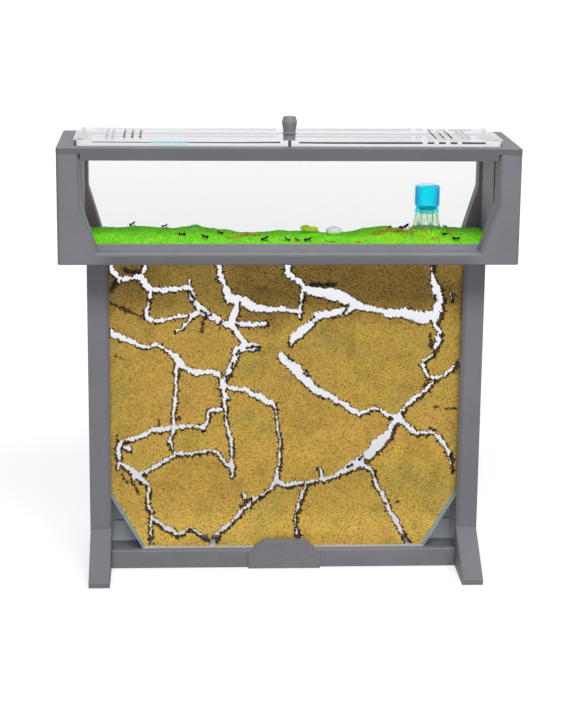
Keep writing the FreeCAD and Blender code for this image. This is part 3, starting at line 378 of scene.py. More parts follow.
# Crevices in the sand face, dark with painted shade: (x1, z1, x2, z2, half width).
CREVICES = [
    (-78, 116.5, -70, 113, 1), (-70, 113, -65, 110.5, 0.8), (-36.8, 110, -37.8, 104, 0.8),
    (12, 124.5, 21, 124.8, 1.6), (15, 124, 19, 126, 1.2), (53.5, 113.2, 57, 114, 0.9),
    (68, 68.5, 72, 67, 0.5), (72, 67, 78, 67.2, 0.4), (65.3, 79, 64, 77.4, 1.2),
    (66.2, 57.8, 68.6, 56.6, 0.9), (-74, 36.5, -72, 33, 0.9),
    (-68, 30.5, -66.4, 27.5, 0.6), (-19.6, 21, -16.5, 21.8, 1), (51.5, 22.4, 54, 23.4, 0.4),
    (-77, 92.2, -72.5, 90.8, 0.25), (-76.4, 55, -75.6, 51, 0.7), (-35, 66.8, -28.5, 68.2, 0.7),
    (65.6, 101, 66.2, 96.5, 1), (64.6, 84.5, 65.8, 82, 1), (-29, 105.6, -29.6, 104.6, 0.5),
    (-72, 131.5, -66, 130.5, 1.5), (-78.5, 122, -76, 127, 1.2), (-57, 62.4, -57.4, 56.6, 0.3),
    (-49, 66, -47.6, 62, 0.5),
]
# Damp sand, which also carries painted shade of the box above: (x1, z1, x2, z2, half width).
DAMP_AND_SHADE = [(-14, 128, 58, 124, 9), (-73, 128, -65, 128, 3.5), (68, 127, 74, 122, 4), (-18, 116, -8, 112, 5)]
# Where the dug galleries open wider: (x, z, reach, extra retreat of each edge).
WIDER = [
    (-18.5, 114, 9, 0.75), (-22, 121, 6, 0.7), (64, 113, 9, 1.3), (66, 121, 6, 0.9), (62, 106, 5, 0.8),
    (-36, 114, 6, 0.8), (-71, 60, 8, 0.7), (-68, 44, 7, 0.9), (-66, 38, 5, 0.8), (38, 54, 9, 0.8),
    (30, 45, 7, 0.9), (-29, 96, 6, 0.6), (-60, 84, 7, 0.5), (22, 118, 12, 0.4), (10, 88, 9, 0.5),
    (52, 112, 8, 0.7), (-34, 107, 6, 0.9), (-40, 88, 5, 0.4),
]
DAMP_FADE = 0.012
# Above DAMP_TOP the sand darkens: wet sand with painted shade of the box above.
DAMP_TOP, DAMP_TOP_FADE = 0.128, 0.05
SAND_TOP = 0.15
CREVICE_SOFT = 0.00035


def near_lines(place, lines):
    """Distance in metres from the nearest of some lines on the nest, seen from the front."""
    flat = stretched(place, (1, 0, 1))
    nearest = None
    for x1, z1, x2, z2, half_width in lines:
        start, run = Vector((x1, 0, z1 + NEST_FOOT)) * MM, Vector((x2 - x1, 0, z2 - z1)) * MM
        offset = vector("SUBTRACT", flat, start)
        along = vector("DOT_PRODUCT", offset, run / run.length_squared)
        share = larger(smaller(along, 1), 0)
        foot = add("VectorMath", {"operation": "SCALE"}, i0=run, Scale=share)
        gap = minus(vector("DISTANCE", offset, foot), half_width * MM)
        nearest = gap if nearest is None else smaller(nearest, gap)
    return nearest


def nest_sand():
    """Ochre sand pressed against the sheets: dry and golden below, darker near the top,
    where it is wet and carries painted shade of the box above.
    """
    place = new_material("nest_sand")
    height = split(place)[2]
    patch = noise(place, 24, 4, 0.55, 0.4)
    # Darker towards the top and along the listed lines: wet sand with painted shade of the box.
    reach = scaled(near_lines(place, DAMP_AND_SHADE), -1 / DAMP_FADE, 0.85)
    reach = larger(reach, scaled(height, 1 / DAMP_TOP_FADE, -DAMP_TOP / DAMP_TOP_FADE))
    damp_and_shade = plus(reach, scaled(patch, 2, -1.05), clamp=True)
    tint = noise(stretched(place, (1, 1, 1.4)), 30, 2, 0.5, 0.6)
    dry = ramp(tint, [(0.32, srgb(200, 172, 82)), (0.46, srgb(214, 178, 80)), (0.56, srgb(216, 176, 82)),
                      (0.7, srgb(218, 176, 86))])
    wet = ramp(patch, [(0.3, srgb(152, 124, 54)), (0.62, srgb(184, 149, 66)), (0.8, srgb(206, 168, 76))])
    body = mix(damp_and_shade, dry, wet)
    level = times(height, 1 / SAND_TOP)
    # Painted light and shade by height: much lighter at the bottom beside the rail's trough and at the top
    # under the box, with small steps between.
    body = tinted(body, ramp(level, [
        (0.13, (1.34, 1.36, 1.45)), (0.17, (1.12, 1.14, 1.18)), (0.24, (0.99, 1.01, 0.99)),
        (0.36, (1.07, 1.08, 1.05)), (0.55, (0.98, 0.99, 0.98)), (0.7, (0.93, 0.94, 0.92)),
        (0.79, (1.08, 1.08, 1.07)), (0.88, (1.28, 1.28, 1.28))]))
    blotch = noise(place, 110, 3, 0.6)
    body = tinted(body, ramp(blotch, [
        (0.34, (0.84, 0.83, 0.8)), (0.5, (1, 1, 1)), (0.68, (1.08, 1.07, 1.04))]))
    grain = noise(place, 1500, 2, 0.75)
    grain_tone = ramp(grain, [
        (0.3, (0.08, 0.07, 0.05)), (0.4, (0.55, 0.5, 0.42)), (0.48, (1, 0.99, 0.97)),
        (0.6, (1.12, 1.12, 1.1)), (0.72, (1.5, 1.48, 1.46))])
    body = tinted(body, grain_tone, scaled(damp_and_shade, 0.3, 0.7))
    speck = noise(stretched(place, (1, 1, 1.3)), 820, 2, 0.6)
    crowd = scaled(noise(place, 70, 2, 0.5), -0.1, 0.745)
    dots = above(speck, scaled(damp_and_shade, -0.05, crowd))
    body = mix(times(dots, 0.75), body, srgb(84, 62, 26))
    # Painted shade in the crevices.
    crumble = scaled(noise(place, 480, 4, 0.8), 0.0072, -0.0034)
    gap = plus(near_lines(place, CREVICES), crumble)
    shade = spread(gap, CREVICE_SOFT, -CREVICE_SOFT)
    body = mix(shade, body, ramp(grain, [(0.4, srgb(34, 24, 10)), (0.62, srgb(92, 70, 30))]))
    relief = minus(grain, times(shade, 0.8))
    return surface(solid(body, 0.95, 0.1, Normal=bump(relief, 0.6, 0.0005)))


def green_sand():
    """Dyed green sand, yellower in places, with pale and dark grains."""
    place = new_material("green_sand")
    patch = noise(stretched(place, (1, 0.6, 1)), 34, 3, 0.6, 0.5)
    grain = noise(place, 1300, 3, 0.8)
    across = split(place)[0]
    warm = plus(scaled(across, 2.2, 0.05), scaled(patch, 3.2, -1.6), clamp=True)
    warm = times(warm, minus(1, spread(across, 0.064, 0.074)))
    base = mix(warm, srgb(126, 245, 18), srgb(184, 249, 6))
    tone = ramp(grain, [(0.33, (0.3, 0.5, 0.3)), (0.44, (0.8, 0.88, 0.8)), (0.53, (1.08, 1.04, 1.1)),
                        (0.64, (2.2, 1.35, 4))])
    return surface(solid(tinted(base, tone), 0.85, 0.2, Normal=bump(grain, 0.6, 0.0005)))


def tinted_clear(name, middle, rim, see, gloss, bottom=None):
    """Thin clear moulding or liquid: see-through in the middle of its outline, deeper coloured at its sides.

    A liquid has its level faces as bright as its middle, and is solid below the height bottom.
    """
    place = new_material(name)
    facing = add("LayerWeight", Blend=0.4).outputs["Facing"]
    wobble = noise(place, 380, 2, 0.5)
    facing = plus(facing, scaled(wobble, 0.3, -0.15), clamp=True)
    upward = normal()[2]
    level = below(upward, -0.3) if bottom is None else above(size(upward), 0.3)
    facing = times(facing, scaled(level, -0.95, 1))
    colour = mix(facing, middle, rim)
    body = solid(colour, 0.12, gloss, Normal=bump(wobble, 0.12, 0.0003))
    share = scaled(facing, 0.2, 1 - see, clamp=True)
    if bottom is not None:
        share = larger(share, below(split(place)[2], bottom))
    return surface(blend(share, clear(colour), body))


RIBBED_HEIGHT = 0.009
SEAT_HEIGHT = 0.0095
RIB_SPOTS = 7


def ribbed_clear(axis):
    """The drinker's clear foot, with painted green light from the sand in its streaks, painted blue light
    from the water on its seat and painted teal glints in its ribs.
    """
    place = new_material("drinker_plastic")
    x, y, z = split(vector("SUBTRACT", place, axis))
    angle = calc("ARCTAN2", y, x)
    wound = add("CombineXYZ", X=times(angle, 2.6), Y=0, Z=times(z, 60))
    streak = noise(wound, 1.5, 2, 0.6)
    # Painted green light from the sand.
    tint = ramp(streak, [(0.36, srgb(196, 232, 194)), (0.45, srgb(244, 251, 245)),
                         (0.58, srgb(253, 254, 253)), (0.66, srgb(214, 238, 212))])
    seat = above(z, SEAT_HEIGHT)
    # Painted blue light from the water on the seat.
    tint = mix(seat, tint, srgb(150, 246, 255))
    up = spread(z, 0, RIBBED_HEIGHT)
    # Painted teal glints in the ribs.
    pool = spread(size(minus(up, 0.28)), 0.2, 0.02)
    spots = times(pool, above(calc("SINE", times(angle, RIB_SPOTS)), 0.35))
    colour = mix(times(spots, 0.85), tint, srgb(52, 200, 186))
    share = scaled(spots, 0.45, scaled(seat, -0.07, 0.09))
    return surface(blend(share, clear(colour), solid(colour, 0.15)))


def speckled(name, low, high, scale, rough, relief, gloss=0.5, uneven=0.6, strength=0.4):
    """Two-tone finish for stones, seeds, ants and loose sand. low and high are screen colours."""
    place = new_material(name)
    spots = noise(place, scale, 3, uneven)
    colour = ramp(spots, [(0.35, srgb(*low)), (0.65, srgb(*high))])
    return surface(solid(colour, rough, gloss, Normal=bump(spots, strength, relief)))


def paint(material, *nodes):
    for node in nodes:
        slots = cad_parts[node].data.materials
        if not slots:
            slots.append(material)
        for index in range(len(slots)):
            slots[index] = material


# Finish of the galleries' loose dug sand and of their rims of painted shade, for speckled().
DUG = (1500, 0.97, 0.0005, 0.1, 0.7, 0.7)


# ==== Parts that keep their CAD shape

EDGE_ROUND = 0.00035
# Reach of the band of painted light on the forward faces behind the nest's back sheet.
BACK_BAND = 0.002
SILL_INSET = 0.01


def soften(node):
    """Round the sharp edges of a CAD node a little."""
    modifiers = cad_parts[node].modifiers
    modifiers.new("weld", "WELD").merge_threshold = 1e-5
    bevel = modifiers.new("soft_edges", "BEVEL")
    bevel.width = EDGE_ROUND
    bevel.segments = 2
    bevel.limit_method = "ANGLE"
    bevel.angle_limit = radians(35)
    bevel.harden_normals = False
    modifiers.new("even_shading", "WEIGHTED_NORMAL")


def dress_frame():
    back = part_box("nest_back_sheet")[1][1]
    box_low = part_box("outworld_body")[0]
    pane_low, pane_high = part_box("outworld_back_pane")
    base_low, base_high = BOXES["drinker_base"]
    # Painted light on the forward faces of the uprights' rear corner walls behind the nest, which sit in
    # shade.
    paint(printed("printed_upright", "Z", 0.97, (back - BACK_BAND, back + BACK_BAND, 2.7)),
          "left_upright", "right_upright")
    # Painted light on the forward faces of the rail's raised rear corner walls behind the nest.
    paint(printed("printed_rail", "X", 1.03, (back + 0.0001, back + BACK_BAND, 2.9)), "base_rail")
    paint(printed("printed_knob", "X", 1.15), "lid_knob")
    # The box: painted light inside it, and painted shade and a painted highlight on its window sill.
    sill = (pane_high[0] - SILL_INSET, box_low[2] + SILL_HEIGHT, box_low[1])
    paint(printed("printed_box", "X", inner=(1.6, 1.2, 1.55, 1), inner_half=pane_low[1], sill=sill),
          "outworld_body")
    # Painted shade on the top frame's front faces, darker than its top.
    paint(printed("printed_frame", "X", 0.77, (box_low[1] - 0.001, -pane_high[1], 0.88)), "top_frame")
    for node in ("left_upright", "right_upright", "base_rail", "outworld_body", "top_frame"):
        soften(node)

    paint(acrylic("nest_sheet", (249, 249, 250), (206, 236, 240), 0.5, 0.005),
          "nest_front_sheet", "nest_back_sheet")
    paint(acrylic("window_pane", (248, 248, 248), (190, 226, 232), 0.5, 0.004),
          "outworld_front_pane", "outworld_back_pane")
    paint(lid_sheet(*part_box("lid_panel")), "lid_panel")
    paint(acrylic("spacer_strip", (244, 251, 250), (196, 222, 224), 0.8, 0.02, 0.45),
          "nest_left_spacer", "nest_right_spacer", "nest_left_corner_spacer", "nest_right_corner_spacer")
    paint(acrylic("bottom_strip", (250, 252, 252), (248, 250, 250), 0.9, 0.02, 0.8), "nest_bottom_spacer")
    paint(speckled("pin_metal", (40, 42, 46), (80, 82, 88), 900, 0.35, 0.0001, 0.6), "lid_locating_pins")
    middle = ((base_low[0] + base_high[0]) / 2, (base_low[1] + base_high[1]) / 2, base_low[2])
    paint(ribbed_clear(middle), "drinker_base")


# ==== Shapes

def turns(sides):
    return [2 * pi * side / sides for side in range(sides)]


class Shape:
    """Vertices, faces and material numbers of one mesh."""

    def __init__(self):
        self.vertices, self.faces, self.tags = [], [], []

    def face(self, corners, tag=0):
        self.faces.append(tuple(corners))
        self.tags.append(tag)

    def blob(self, centre, axes, tag, rings, sides, taper=0, warp=None):
        """Closed round body. axes are its three half lengths as vectors, the first from tail to nose."""
        first = len(self.vertices)
        points = [centre - axes[0]]
        for ring in range(1, rings):
            angle = pi * ring / rings
            along, out = -cos(angle), sin(angle) * (1 - taper * cos(angle))
            for turn in turns(sides):
                points.append(centre + axes[0] * along + axes[1] * (out * cos(turn))
                              + axes[2] * (out * sin(turn)))
        points.append(centre + axes[0])
        self.vertices.extend(map(warp, points) if warp else points)
        last = len(self.vertices) - 1
        for side in range(sides):
            after = (side + 1) % sides
            self.face((first, first + 1 + after, first + 1 + side), tag)
            for ring in range(rings - 2):
                a = first + 1 + ring * sides
                self.face((a + side, a + after, a + sides + after, a + sides + side), tag)
            a = first + 1 + (rings - 2) * sides
            self.face((a + side, a + after, last), tag)

    def skin(self, first, rings, sides, flipped):
        """Quads between rings of vertices, and a flat cap on the first and the last ring."""
        for ring in range(rings - 1):
            a = first + ring * sides
            for side in range(sides):
                after = (side + 1) % sides
                p, q, r, s = a + side, a + after, a + sides + after, a + sides + side
                self.face((p, s, r, q) if flipped else (p, q, r, s))
        last = first + (rings - 1) * sides
        start, end = range(first, first + sides), range(last, last + sides)
        self.face(start if flipped else start[::-1])
        self.face(end[::-1] if flipped else end)

    def tube(self, points, radii, sides=4):
        """Thin closed limb along some points."""
        first = len(self.vertices)
        for index, (point, radius) in enumerate(zip(points, radii)):
            run = points[min(index + 1, len(points) - 1)] - points[max(index - 1, 0)]
            across = run.cross(Vector((0.3, 0.5, 0.81))).normalized()
            over = run.cross(across).normalized()
            for turn in turns(sides):
                self.vertices.append(point + across * (radius * cos(turn)) + over * (radius * sin(turn)))
        self.skin(first, len(points), sides, True)

    def turned(self, middle, profile, sides=48, wave=None):
        """Closed body of revolution about a vertical axis. profile: (radius, height) in mm."""
        first = len(self.vertices)
        for radius, height in profile:
            for turn in turns(sides):
                lift = wave(turn) if wave and (radius, height) in profile[-3:] else 0
                self.vertices.append(Vector((middle[0] + radius * MM * cos(turn),
                                             middle[1] + radius * MM * sin(turn), (height + lift) * MM)))
        self.skin(first, len(profile), sides, False)

    def cap(self, rings, backwards):
        """Fill flat outlines with triangles, also where a crumbled outline crosses itself."""
        members = [index for ring in rings for index in ring]
        flat = [self.vertices[index].xz for index in members]
        level = self.vertices[members[0]].y
        outlines, taken = [], 0
        for ring in rings:
            outlines.append(list(range(taken, taken + len(ring))))
            taken += len(ring)
        points, _, triangles, origins, _, _ = delaunay_2d_cdt(flat, [], outlines, 2, 1e-8)
        lookup = []
        for point, origin in zip(points, origins):
            lookup.append(members[origin[0]] if origin else len(self.vertices))
            if not origin:
                self.vertices.append(Vector((point.x, level, point.y)))
        for triangle in triangles:
            a, b, c = (points[index] for index in triangle)
            clockwise = (b.x - a.x) * (c.y - a.y) - (c.x - a.x) * (b.y - a.y) < 0
            corners = [lookup[index] for index in triangle]
            self.face(corners[::-1] if clockwise != backwards else corners)

    def make(self, name, materials, body, slot, smooth=True):
        mesh = bpy.data.meshes.new(name)
        mesh.from_pydata(self.vertices, [], self.faces)
        for material in materials:
            mesh.materials.append(material)
        mesh.polygons.foreach_set("material_index", self.tags)
        mesh.polygons.foreach_set("use_smooth", [smooth] * len(mesh.polygons))
        mesh.validate()
        piece = add_object(name, mesh)
        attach(piece, body)
        return piece


# ==== Nest sand

SAME_PLACE = 5e-6
SAME_LEVEL = 1e-5


def face_loops(node, level):
    """Closed outlines of a node's flat face at y = level, grouped by island, largest loop first."""
    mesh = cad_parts[node].data
    keys, points, parent, directed = {}, [], {}, {}

    def key_of(vertex):
        key = (round(vertex.co.x / SAME_PLACE), round(vertex.co.z / SAME_PLACE))
        if key not in keys:
            keys[key] = len(points)
            points.append((vertex.co.x, vertex.co.z))
        return keys[key]

    def root(a):
        while parent[a] != a:
            a = parent[a]
        return a

    def area(loop):
        return 0.5 * sum(a.x * b.y - b.x * a.y for a, b in zip(loop, loop[1:] + loop[:1]))

    for polygon in mesh.polygons:
        corners = [mesh.vertices[index] for index in polygon.vertices]
        if any(abs(corner.co.y - level) > SAME_LEVEL for corner in corners):
            continue
        ring = [key_of(corner) for corner in corners]
        if len(set(ring)) < 3:
            continue
        for a in ring:
            parent.setdefault(a, a)
        for a, b in zip(ring, ring[1:] + ring[:1]):
            parent[root(a)] = root(b)
            directed[(a, b)] = True
    follow = {}
    for a, b in directed:
        if (b, a) not in directed:
            follow.setdefault(a, []).append(b)
    islands = {}
    while follow:
        start = min(follow)
        loop, here = [], start
        while not loop or here != start:
            loop.append(here)
            ahead = follow[here].pop()
            if not follow[here]:
                del follow[here]
            here = ahead
        islands.setdefault(root(start), []).append([Vector(points[index]) for index in loop])
    result = [sorted(group, key=lambda loop: -abs(area(loop))) for group in islands.values()]
    result.sort(key=lambda group: (round(group[0][0].x, 5), round(group[0][0].y, 5)))
    return [[loop if (area(loop) > 0) == (index == 0) else loop[::-1] for index, loop in enumerate(group)]
            for group in result]


def resampled(loop, step):
    """Points about one step apart along a closed outline."""
    dense = []
    for a, b in zip(loop, loop[1:] + loop[:1]):
        parts = max(1, round((b - a).length / step))
        dense.extend(a.lerp(b, part / parts) for part in range(parts))
    merged = [dense[0]]
    for point in dense[1:]:
        if (point - merged[-1]).length > 0.35 * step:
            merged.append(point)
    return merged


def widening(x, z):
    """Extra retreat in metres of a gallery edge at (x, z) in metres."""
    return max(0, *(extra * MM * (1 - (hypot(x / MM - spot_x, z / MM - spot_z - NEST_FOOT) / reach) ** 2)
                    for spot_x, spot_z, reach, extra in WIDER))


# Crumbs of a dug edge: (depth in metres, how fine).
CRUMBS = [(0.0007, 0.37), (0.0008, 0.95), (0.0008, 2.1), (0.00095, 4.3)]


def crumbled(x, z, layer):
    """Unevenness of a dug edge in metres, at (x, z) in metres."""
    seed = Vector((x * 1000, layer, z * 1000))
    return sum(depth * perlin(seed * scale) for depth, scale in CRUMBS) - 0.00018


# Gap between the sand and the clear sheets, so that no two surfaces lie in one plane.
SAND_SHY = 0.00005
RIM_DEPTH = 0.0004
EDGE_STEP = 0.00032
# Slope of the galleries' floors, in degrees.
GALLERY_FALL = 14
# Extra retreat of the rim of painted shade: everywhere, in bites, and on a floor.
RIM_BACK, RIM_BITE, RIM_FLOOR = 0.00022, 0.0013, 0.0001


def nest_islands(sand, rim, wall):
    """Sand between the galleries, with crumbled edges and gallery floors that fall towards the back."""
    low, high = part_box("sand_fill")
    half = high[1]
    groups = face_loops("sand_fill", -half)
    outer = [point for group in groups for loop in group for point in loop]
    foot_x = max(abs(p.x) for p in outer if abs(p.y - low[2]) < SAME_LEVEL)
    bend_z = min(p.y for p in outer if abs(abs(p.x) - high[0]) < SAME_LEVEL)
    slope = (high[0] - foot_x) / (bend_z - low[2])

    def on_outline(point):
        """True on the sides, the chamfers, the bottom and the top of the whole slab."""
        limit = min(high[0], foot_x + (point.y - low[2]) * slope)
        return abs(point.x) > limit - 0.0005 or point.y < low[2] + 0.0004 or point.y > high[2] - 0.0004

    shape = Shape()
    # Place of each layer of the walls, and how far a floor has fallen there. The first is the rim, a thin
    # ring painted with the shade of the gallery walls.
    layers = [(-half + SAND_SHY, None), (-half + RIM_DEPTH, 0), (-half * 0.55, 0.22), (-half * 0.1, 0.5),
              (half * 0.4, 0.74), (half - SAND_SHY, 1)]
    fall = 2 * half * tan(radians(GALLERY_FALL))
    for group in groups:
        rings = []
        for loop in group:
            points = resampled(loop, EDGE_STEP)
            count = len(points)
            fixed = [on_outline(point) for point in points]
            runs = [points[(index + 2) % count] - points[index - 2] for index in range(count)]
            normals = [Vector((run.y, -run.x)).normalized() for run in runs]
            wider = [widening(point.x, point.y) for point in points]
            starts = []
            for number, (y, share) in enumerate(layers):
                starts.append(len(shape.vertices))
                for (x, z), normal, still, wide in zip(points, normals, fixed, wider):
                    if not still:
                        ragged = crumbled(x, z, 0.35 * max(0, number - 1)) - wide
                        if share is None:
                            bite = perlin(Vector((x * 1250, 7.7, z * 1250)))
                            ragged -= RIM_BACK + RIM_BITE * max(0, bite) + RIM_FLOOR * normal.y
                        x += normal.x * ragged
                        z += normal.y * ragged
                        if share is not None and normal.y > 0:
                            z -= fall * share * min(1, normal.y * 1.6)
                    shape.vertices.append(Vector((x, y, z)))
            for ring, (first, second) in enumerate(zip(starts, starts[1:])):
                for index in range(count):
                    after = (index + 1) % count
                    tag = 0 if fixed[index] and fixed[after] else min(2, ring + 1)
                    shape.face((first + index, second + index, second + after, first + after), tag)
            rings.append([range(start, start + count) for start in (starts[0], starts[-1])])
        for end in (0, 1):
            shape.cap([ring[end] for ring in rings], end == 1)
    piece = shape.make("nest_sand_islands", [sand, rim, wall], "stand", "nest_sand", False)
    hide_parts("sand_fill")


# ==== Foraging box

def eased(share):
    """Share from 0 to 1 with soft ends."""
    share = min(1, max(0, share))
    return share * share * (3 - 2 * share)


def between(knots, x):
    """Smooth value at x between knots (x, value)."""
    for (x1, v1), (x2, v2) in zip(knots, knots[1:]):
        if x <= x2:
            break
    return v1 + (v2 - v1) * eased((x - x1) / (x2 - x1))


# Top of the green sand along the back and the front window: (x, height above the ground), mm.
BED_BACK = [
    (-76, 154), (-67, 154.6), (-62, 154.5), (-57, 154), (-50, 153.6), (-45, 154.4), (-40, 155.1),
    (-36, 153.8), (-32, 153.4), (-26, 153), (-22, 151.9), (-13, 151.6), (-8, 151.8), (-4, 152.7), (0, 152.6),
    (5, 152.2), (24, 151.6), (28, 151.9), (33, 152.8), (37, 153.7), (42, 154.5), (46, 154.6), (51, 153.8),
    (56, 152.6), (65, 153.5), (74, 154.1), (90, 153.6),
]
BED_FRONT = [(-90, 153.1), (-70, 153.2), (-52, 153), (-30, 152.7), (0, 152.8), (30, 152.9), (60, 153.1),
             (90, 153.3)]
BED_LEAST = 151.5
BED_STEP = 0.00045
# Keeps the heaped sand clear of the panes' faces.
BED_NARROWER = 0.997
# Node, height of the sand above its foot, reach of the sand heaped round it, against its radius.
RESTING = [("drinker_base", 2.3, 1.4), ("green_pebble", 0.15, 1.7), ("white_pebble", 0.15, 1.7)]


def from_axis(node, x, y):
    """Distance from the middle of a round node, against its radius."""
    low, top = BOXES[node]
    return hypot(x - (low[0] + top[0]) / 2, y - (low[1] + top[1]) / 2) / (0.5 * (top[0] - low[0]))


def bed_height(x, y):
    """Top of the green sand, in metres, at a place in metres."""
    high = BOXES["green_sand_bed"][1]
    share = eased(0.5 + 0.5 * y / high[1])
    level = between(BED_FRONT, x * 1000) * (1 - share) + between(BED_BACK, x * 1000) * share
    seed = Vector((x * 1000, y * 1000, 3.1))
    level += 1.1 * perlin(seed * 0.11) * (1 - abs(2 * share - 1)) + 0.5 * perlin(seed * 0.3)
    level = max(level, BED_LEAST)
    for node, sunk, width in RESTING:
        pull = eased((width - from_axis(node, x, y)) / (width - 1))
        level += (BOXES[node][0][2] * 1000 + sunk - level) * pull
    return level * MM


def on_bed(x, y, up=0):
    return Vector((x, y, bed_height(x, y) + up))


def green_bed(material):
    low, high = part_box("green_sand_bed")
    long, deep = high[0] - low[0], high[1] - low[1]
    columns, rows = int(long / BED_STEP), int(deep / BED_STEP)
    shape = Shape()
    for row in range(rows + 1):
        for column in range(columns + 1):
            x = low[0] + long * column / columns
            y = (low[1] + deep * row / rows) * BED_NARROWER
            seed = Vector((x * 1000, y * 1000, 9))
            rough = 0.00024 * perlin(seed * 1.3) + 0.0002 * perlin(seed * 2.9)
            shape.vertices.append(on_bed(x, y, rough))
    width = columns + 1
    for row in range(rows):
        for a in range(row * width, row * width + columns):
            shape.face((a, a + 1, a + 1 + width, a + width))
    last = rows * width
    rim = [*range(columns), *range(columns, last + columns, width)]
    rim += [*range(last + columns, last, -1), *range(last, 0, -width)]
    first = len(shape.vertices)
    for index in rim:
        top = shape.vertices[index]
        shape.vertices.append(Vector((top.x, top.y, low[2])))
    for place, index in enumerate(rim):
        after = (place + 1) % len(rim)
        shape.face((index, first + place, first + after, rim[after]))
    shape.face(range(first + len(rim) - 1, first - 1, -1))
    piece = shape.make("green_sand_surface", [material], "outworld", "green_sand")
    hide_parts("green_sand_bed")


# Loose grains: darker and lighter screen colour, share of all grains.
GRAIN_TINTS = [((70, 176, 40), (110, 212, 70), 0.33), ((150, 222, 40), (196, 238, 90), 0.3),
               ((34, 122, 30), (60, 150, 44), 0.22), ((196, 236, 170), (240, 250, 226), 0.07)]
GRAINS = 1500
GRAIN_REACH = 0.0893


def bed_grains():
    """Loose coarse grains lying on the green sand."""
    chance = random.Random(11)
    high = BOXES["green_sand_bed"][1]
    materials = [speckled("green_grain_%d" % index, low, top, 1600, 0.8, 0.0001, 0.3)
                 for index, (low, top, _) in enumerate(GRAIN_TINTS)]
    shape = Shape()
    for _ in range(GRAINS):
        x, y = chance.uniform(-GRAIN_REACH, GRAIN_REACH), chance.uniform(-1, 1) * (high[1] - 0.0003)
        if any(from_axis(node, x, y) < 1.1 for node, _, _ in RESTING):
            continue
        tag = chance.choices(range(4), [share for _, _, share in GRAIN_TINTS])[0]
        size = chance.uniform(0.00014, 0.0003)
        lean = Matrix.Rotation(chance.uniform(0, 6.3), 3, "Z")
        lean = lean @ Matrix.Rotation(chance.uniform(-0.5, 0.5), 3, "X")
        axes = [lean @ Vector(axis) * size * chance.uniform(0.7, 1.3) for axis in Matrix.Identity(3)]
        shape.blob(on_bed(x, y, 0.4 * size), axes, tag, 3, 4)
    shape.make("green_sand_grains", materials, "outworld", "green_sand", False)


def pebble(node, name, slot, low, high, scale, rough, waist=0, bend=0):
    """Smooth stone that fills a CAD node's box. waist pinches it into two lobes, bend flattens its foot."""
    material = speckled(name, low, high, scale, rough, 0.0001)
    low, high = (Vector(corner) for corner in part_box(node))
    middle, half = (low + high) / 2, (high - low) / 2

    def warp(point):
        at = Vector(((point[axis] - middle[axis]) / half[axis] for axis in range(3)))
        pinch = 1 - waist * exp(-((at.x - 0.22) / 0.24) ** 2) - 0.16 * at.x * bend
        at.y *= pinch
        at.z = (at.z + 1) * pinch - 1 if bend else at.z * pinch
        at *= 1 + 0.07 * perlin(at * 1.7 + Vector((5, 3, 1)))
        return at

    shape = Shape()
    axes = (Vector((half.x, 0, 0)), Vector((0, half.y, 0)), Vector((0, 0, half.z)))
    shape.blob(middle, axes, 0, 20, 28, 0, warp)
    points = shape.vertices
    for axis in range(3):
        least, most = min(point[axis] for point in points), max(point[axis] for point in points)
        for point in points:
            point[axis] = low[axis] + (point[axis] - least) / (most - least) * (high[axis] - low[axis])
    piece = shape.make(name, [material], "outworld", slot)
    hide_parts(node)


# Outlines of cup and water: (inset from their widest, height above the seat or below the cup's top).
CUP_FOOT = [(1, 0), (0.9, 0.35), (0.95, 0.5), (0.4, 1.1), (0.1, 1.9), (0, 2.8)]
CUP_TOP = [(0, 1), (0.2, 0.5), (0.7, 0.12), (1.5, 0)]
WATER_FOOT = [(1.1, 0.12), (0.7, 0.4), (0.68, 0.55), (0.1, 1.35), (0, 2.8)]
WATER_TOP = [(0, 1.5), (0.02, 1.1)]
CUP_WALL = 0.35
WATER_SOLID = 0.38


def drinker_cup():
    """The drinker's upturned cup and the dyed water in it, its waterline just under the cup's top."""
    low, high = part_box("drinker_bottle")
    middle = ((low[0] + high[0]) / 2, (low[1] + high[1]) / 2)
    seat, top, radius = BOXES["drinker_base"][1][2] * 1000, high[2] * 1000, (high[0] - low[0]) * 500
    cup = Shape()
    cup.turned(middle, [(radius - inset, seat + up) for inset, up in CUP_FOOT]
               + [(radius - inset, top - down) for inset, down in CUP_TOP])
    plastic = tinted_clear("cup_plastic", srgb(254, 255, 255), srgb(196, 238, 252), 1, 0.2)
    cup = cup.make("drinker_cup", [plastic], "drinker_bottle", "drinker_clear")
    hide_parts("drinker_bottle")
    water = Shape()
    inner = radius - CUP_WALL
    water.turned(middle, [(inner - inset, seat + up) for inset, up in WATER_FOOT]
                 + [(inner - inset, top - down) for inset, down in WATER_TOP] + [(inner * 0.5, top - 1.2)],
                 wave=lambda turn: 0.3 * sin(2 * turn + 0.8) + 0.15 * sin(3 * turn))
    bottom = (seat + WATER_SOLID) / 1000
    dye = tinted_clear("blue_water", srgb(2, 244, 255), srgb(0, 168, 240), 0.985, 0.1, bottom)
    water = water.make("dyed_water", [dye], "drinker_bottle", "blue_water")
    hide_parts("drinker_water")


# Heaps of seeds: (x1, y1, x2, y2, spread, count), mm on the green sand.
SEED_HEAPS = [
    (-27, -4, -22, -1, 1.3, 26), (-22, -1, -11.5, 5, 2.2, 92), (39.5, 0.6, 46, 3.5, 1.6, 56),
    (46, 3.5, 55, 6, 2.6, 120), (55, 4.5, 64, -0.5, 2, 54), (1.5, -15.4, 4.5, -14.8, 0.7, 9),
    (17, -15.2, 21, -14.8, 0.8, 13), (29.5, -15.2, 32.6, -14.6, 0.8, 12), (64.5, -10, 68, -6.5, 1.5, 16),
    (73.4, 2.8, 76, 7, 1.3, 15),
]
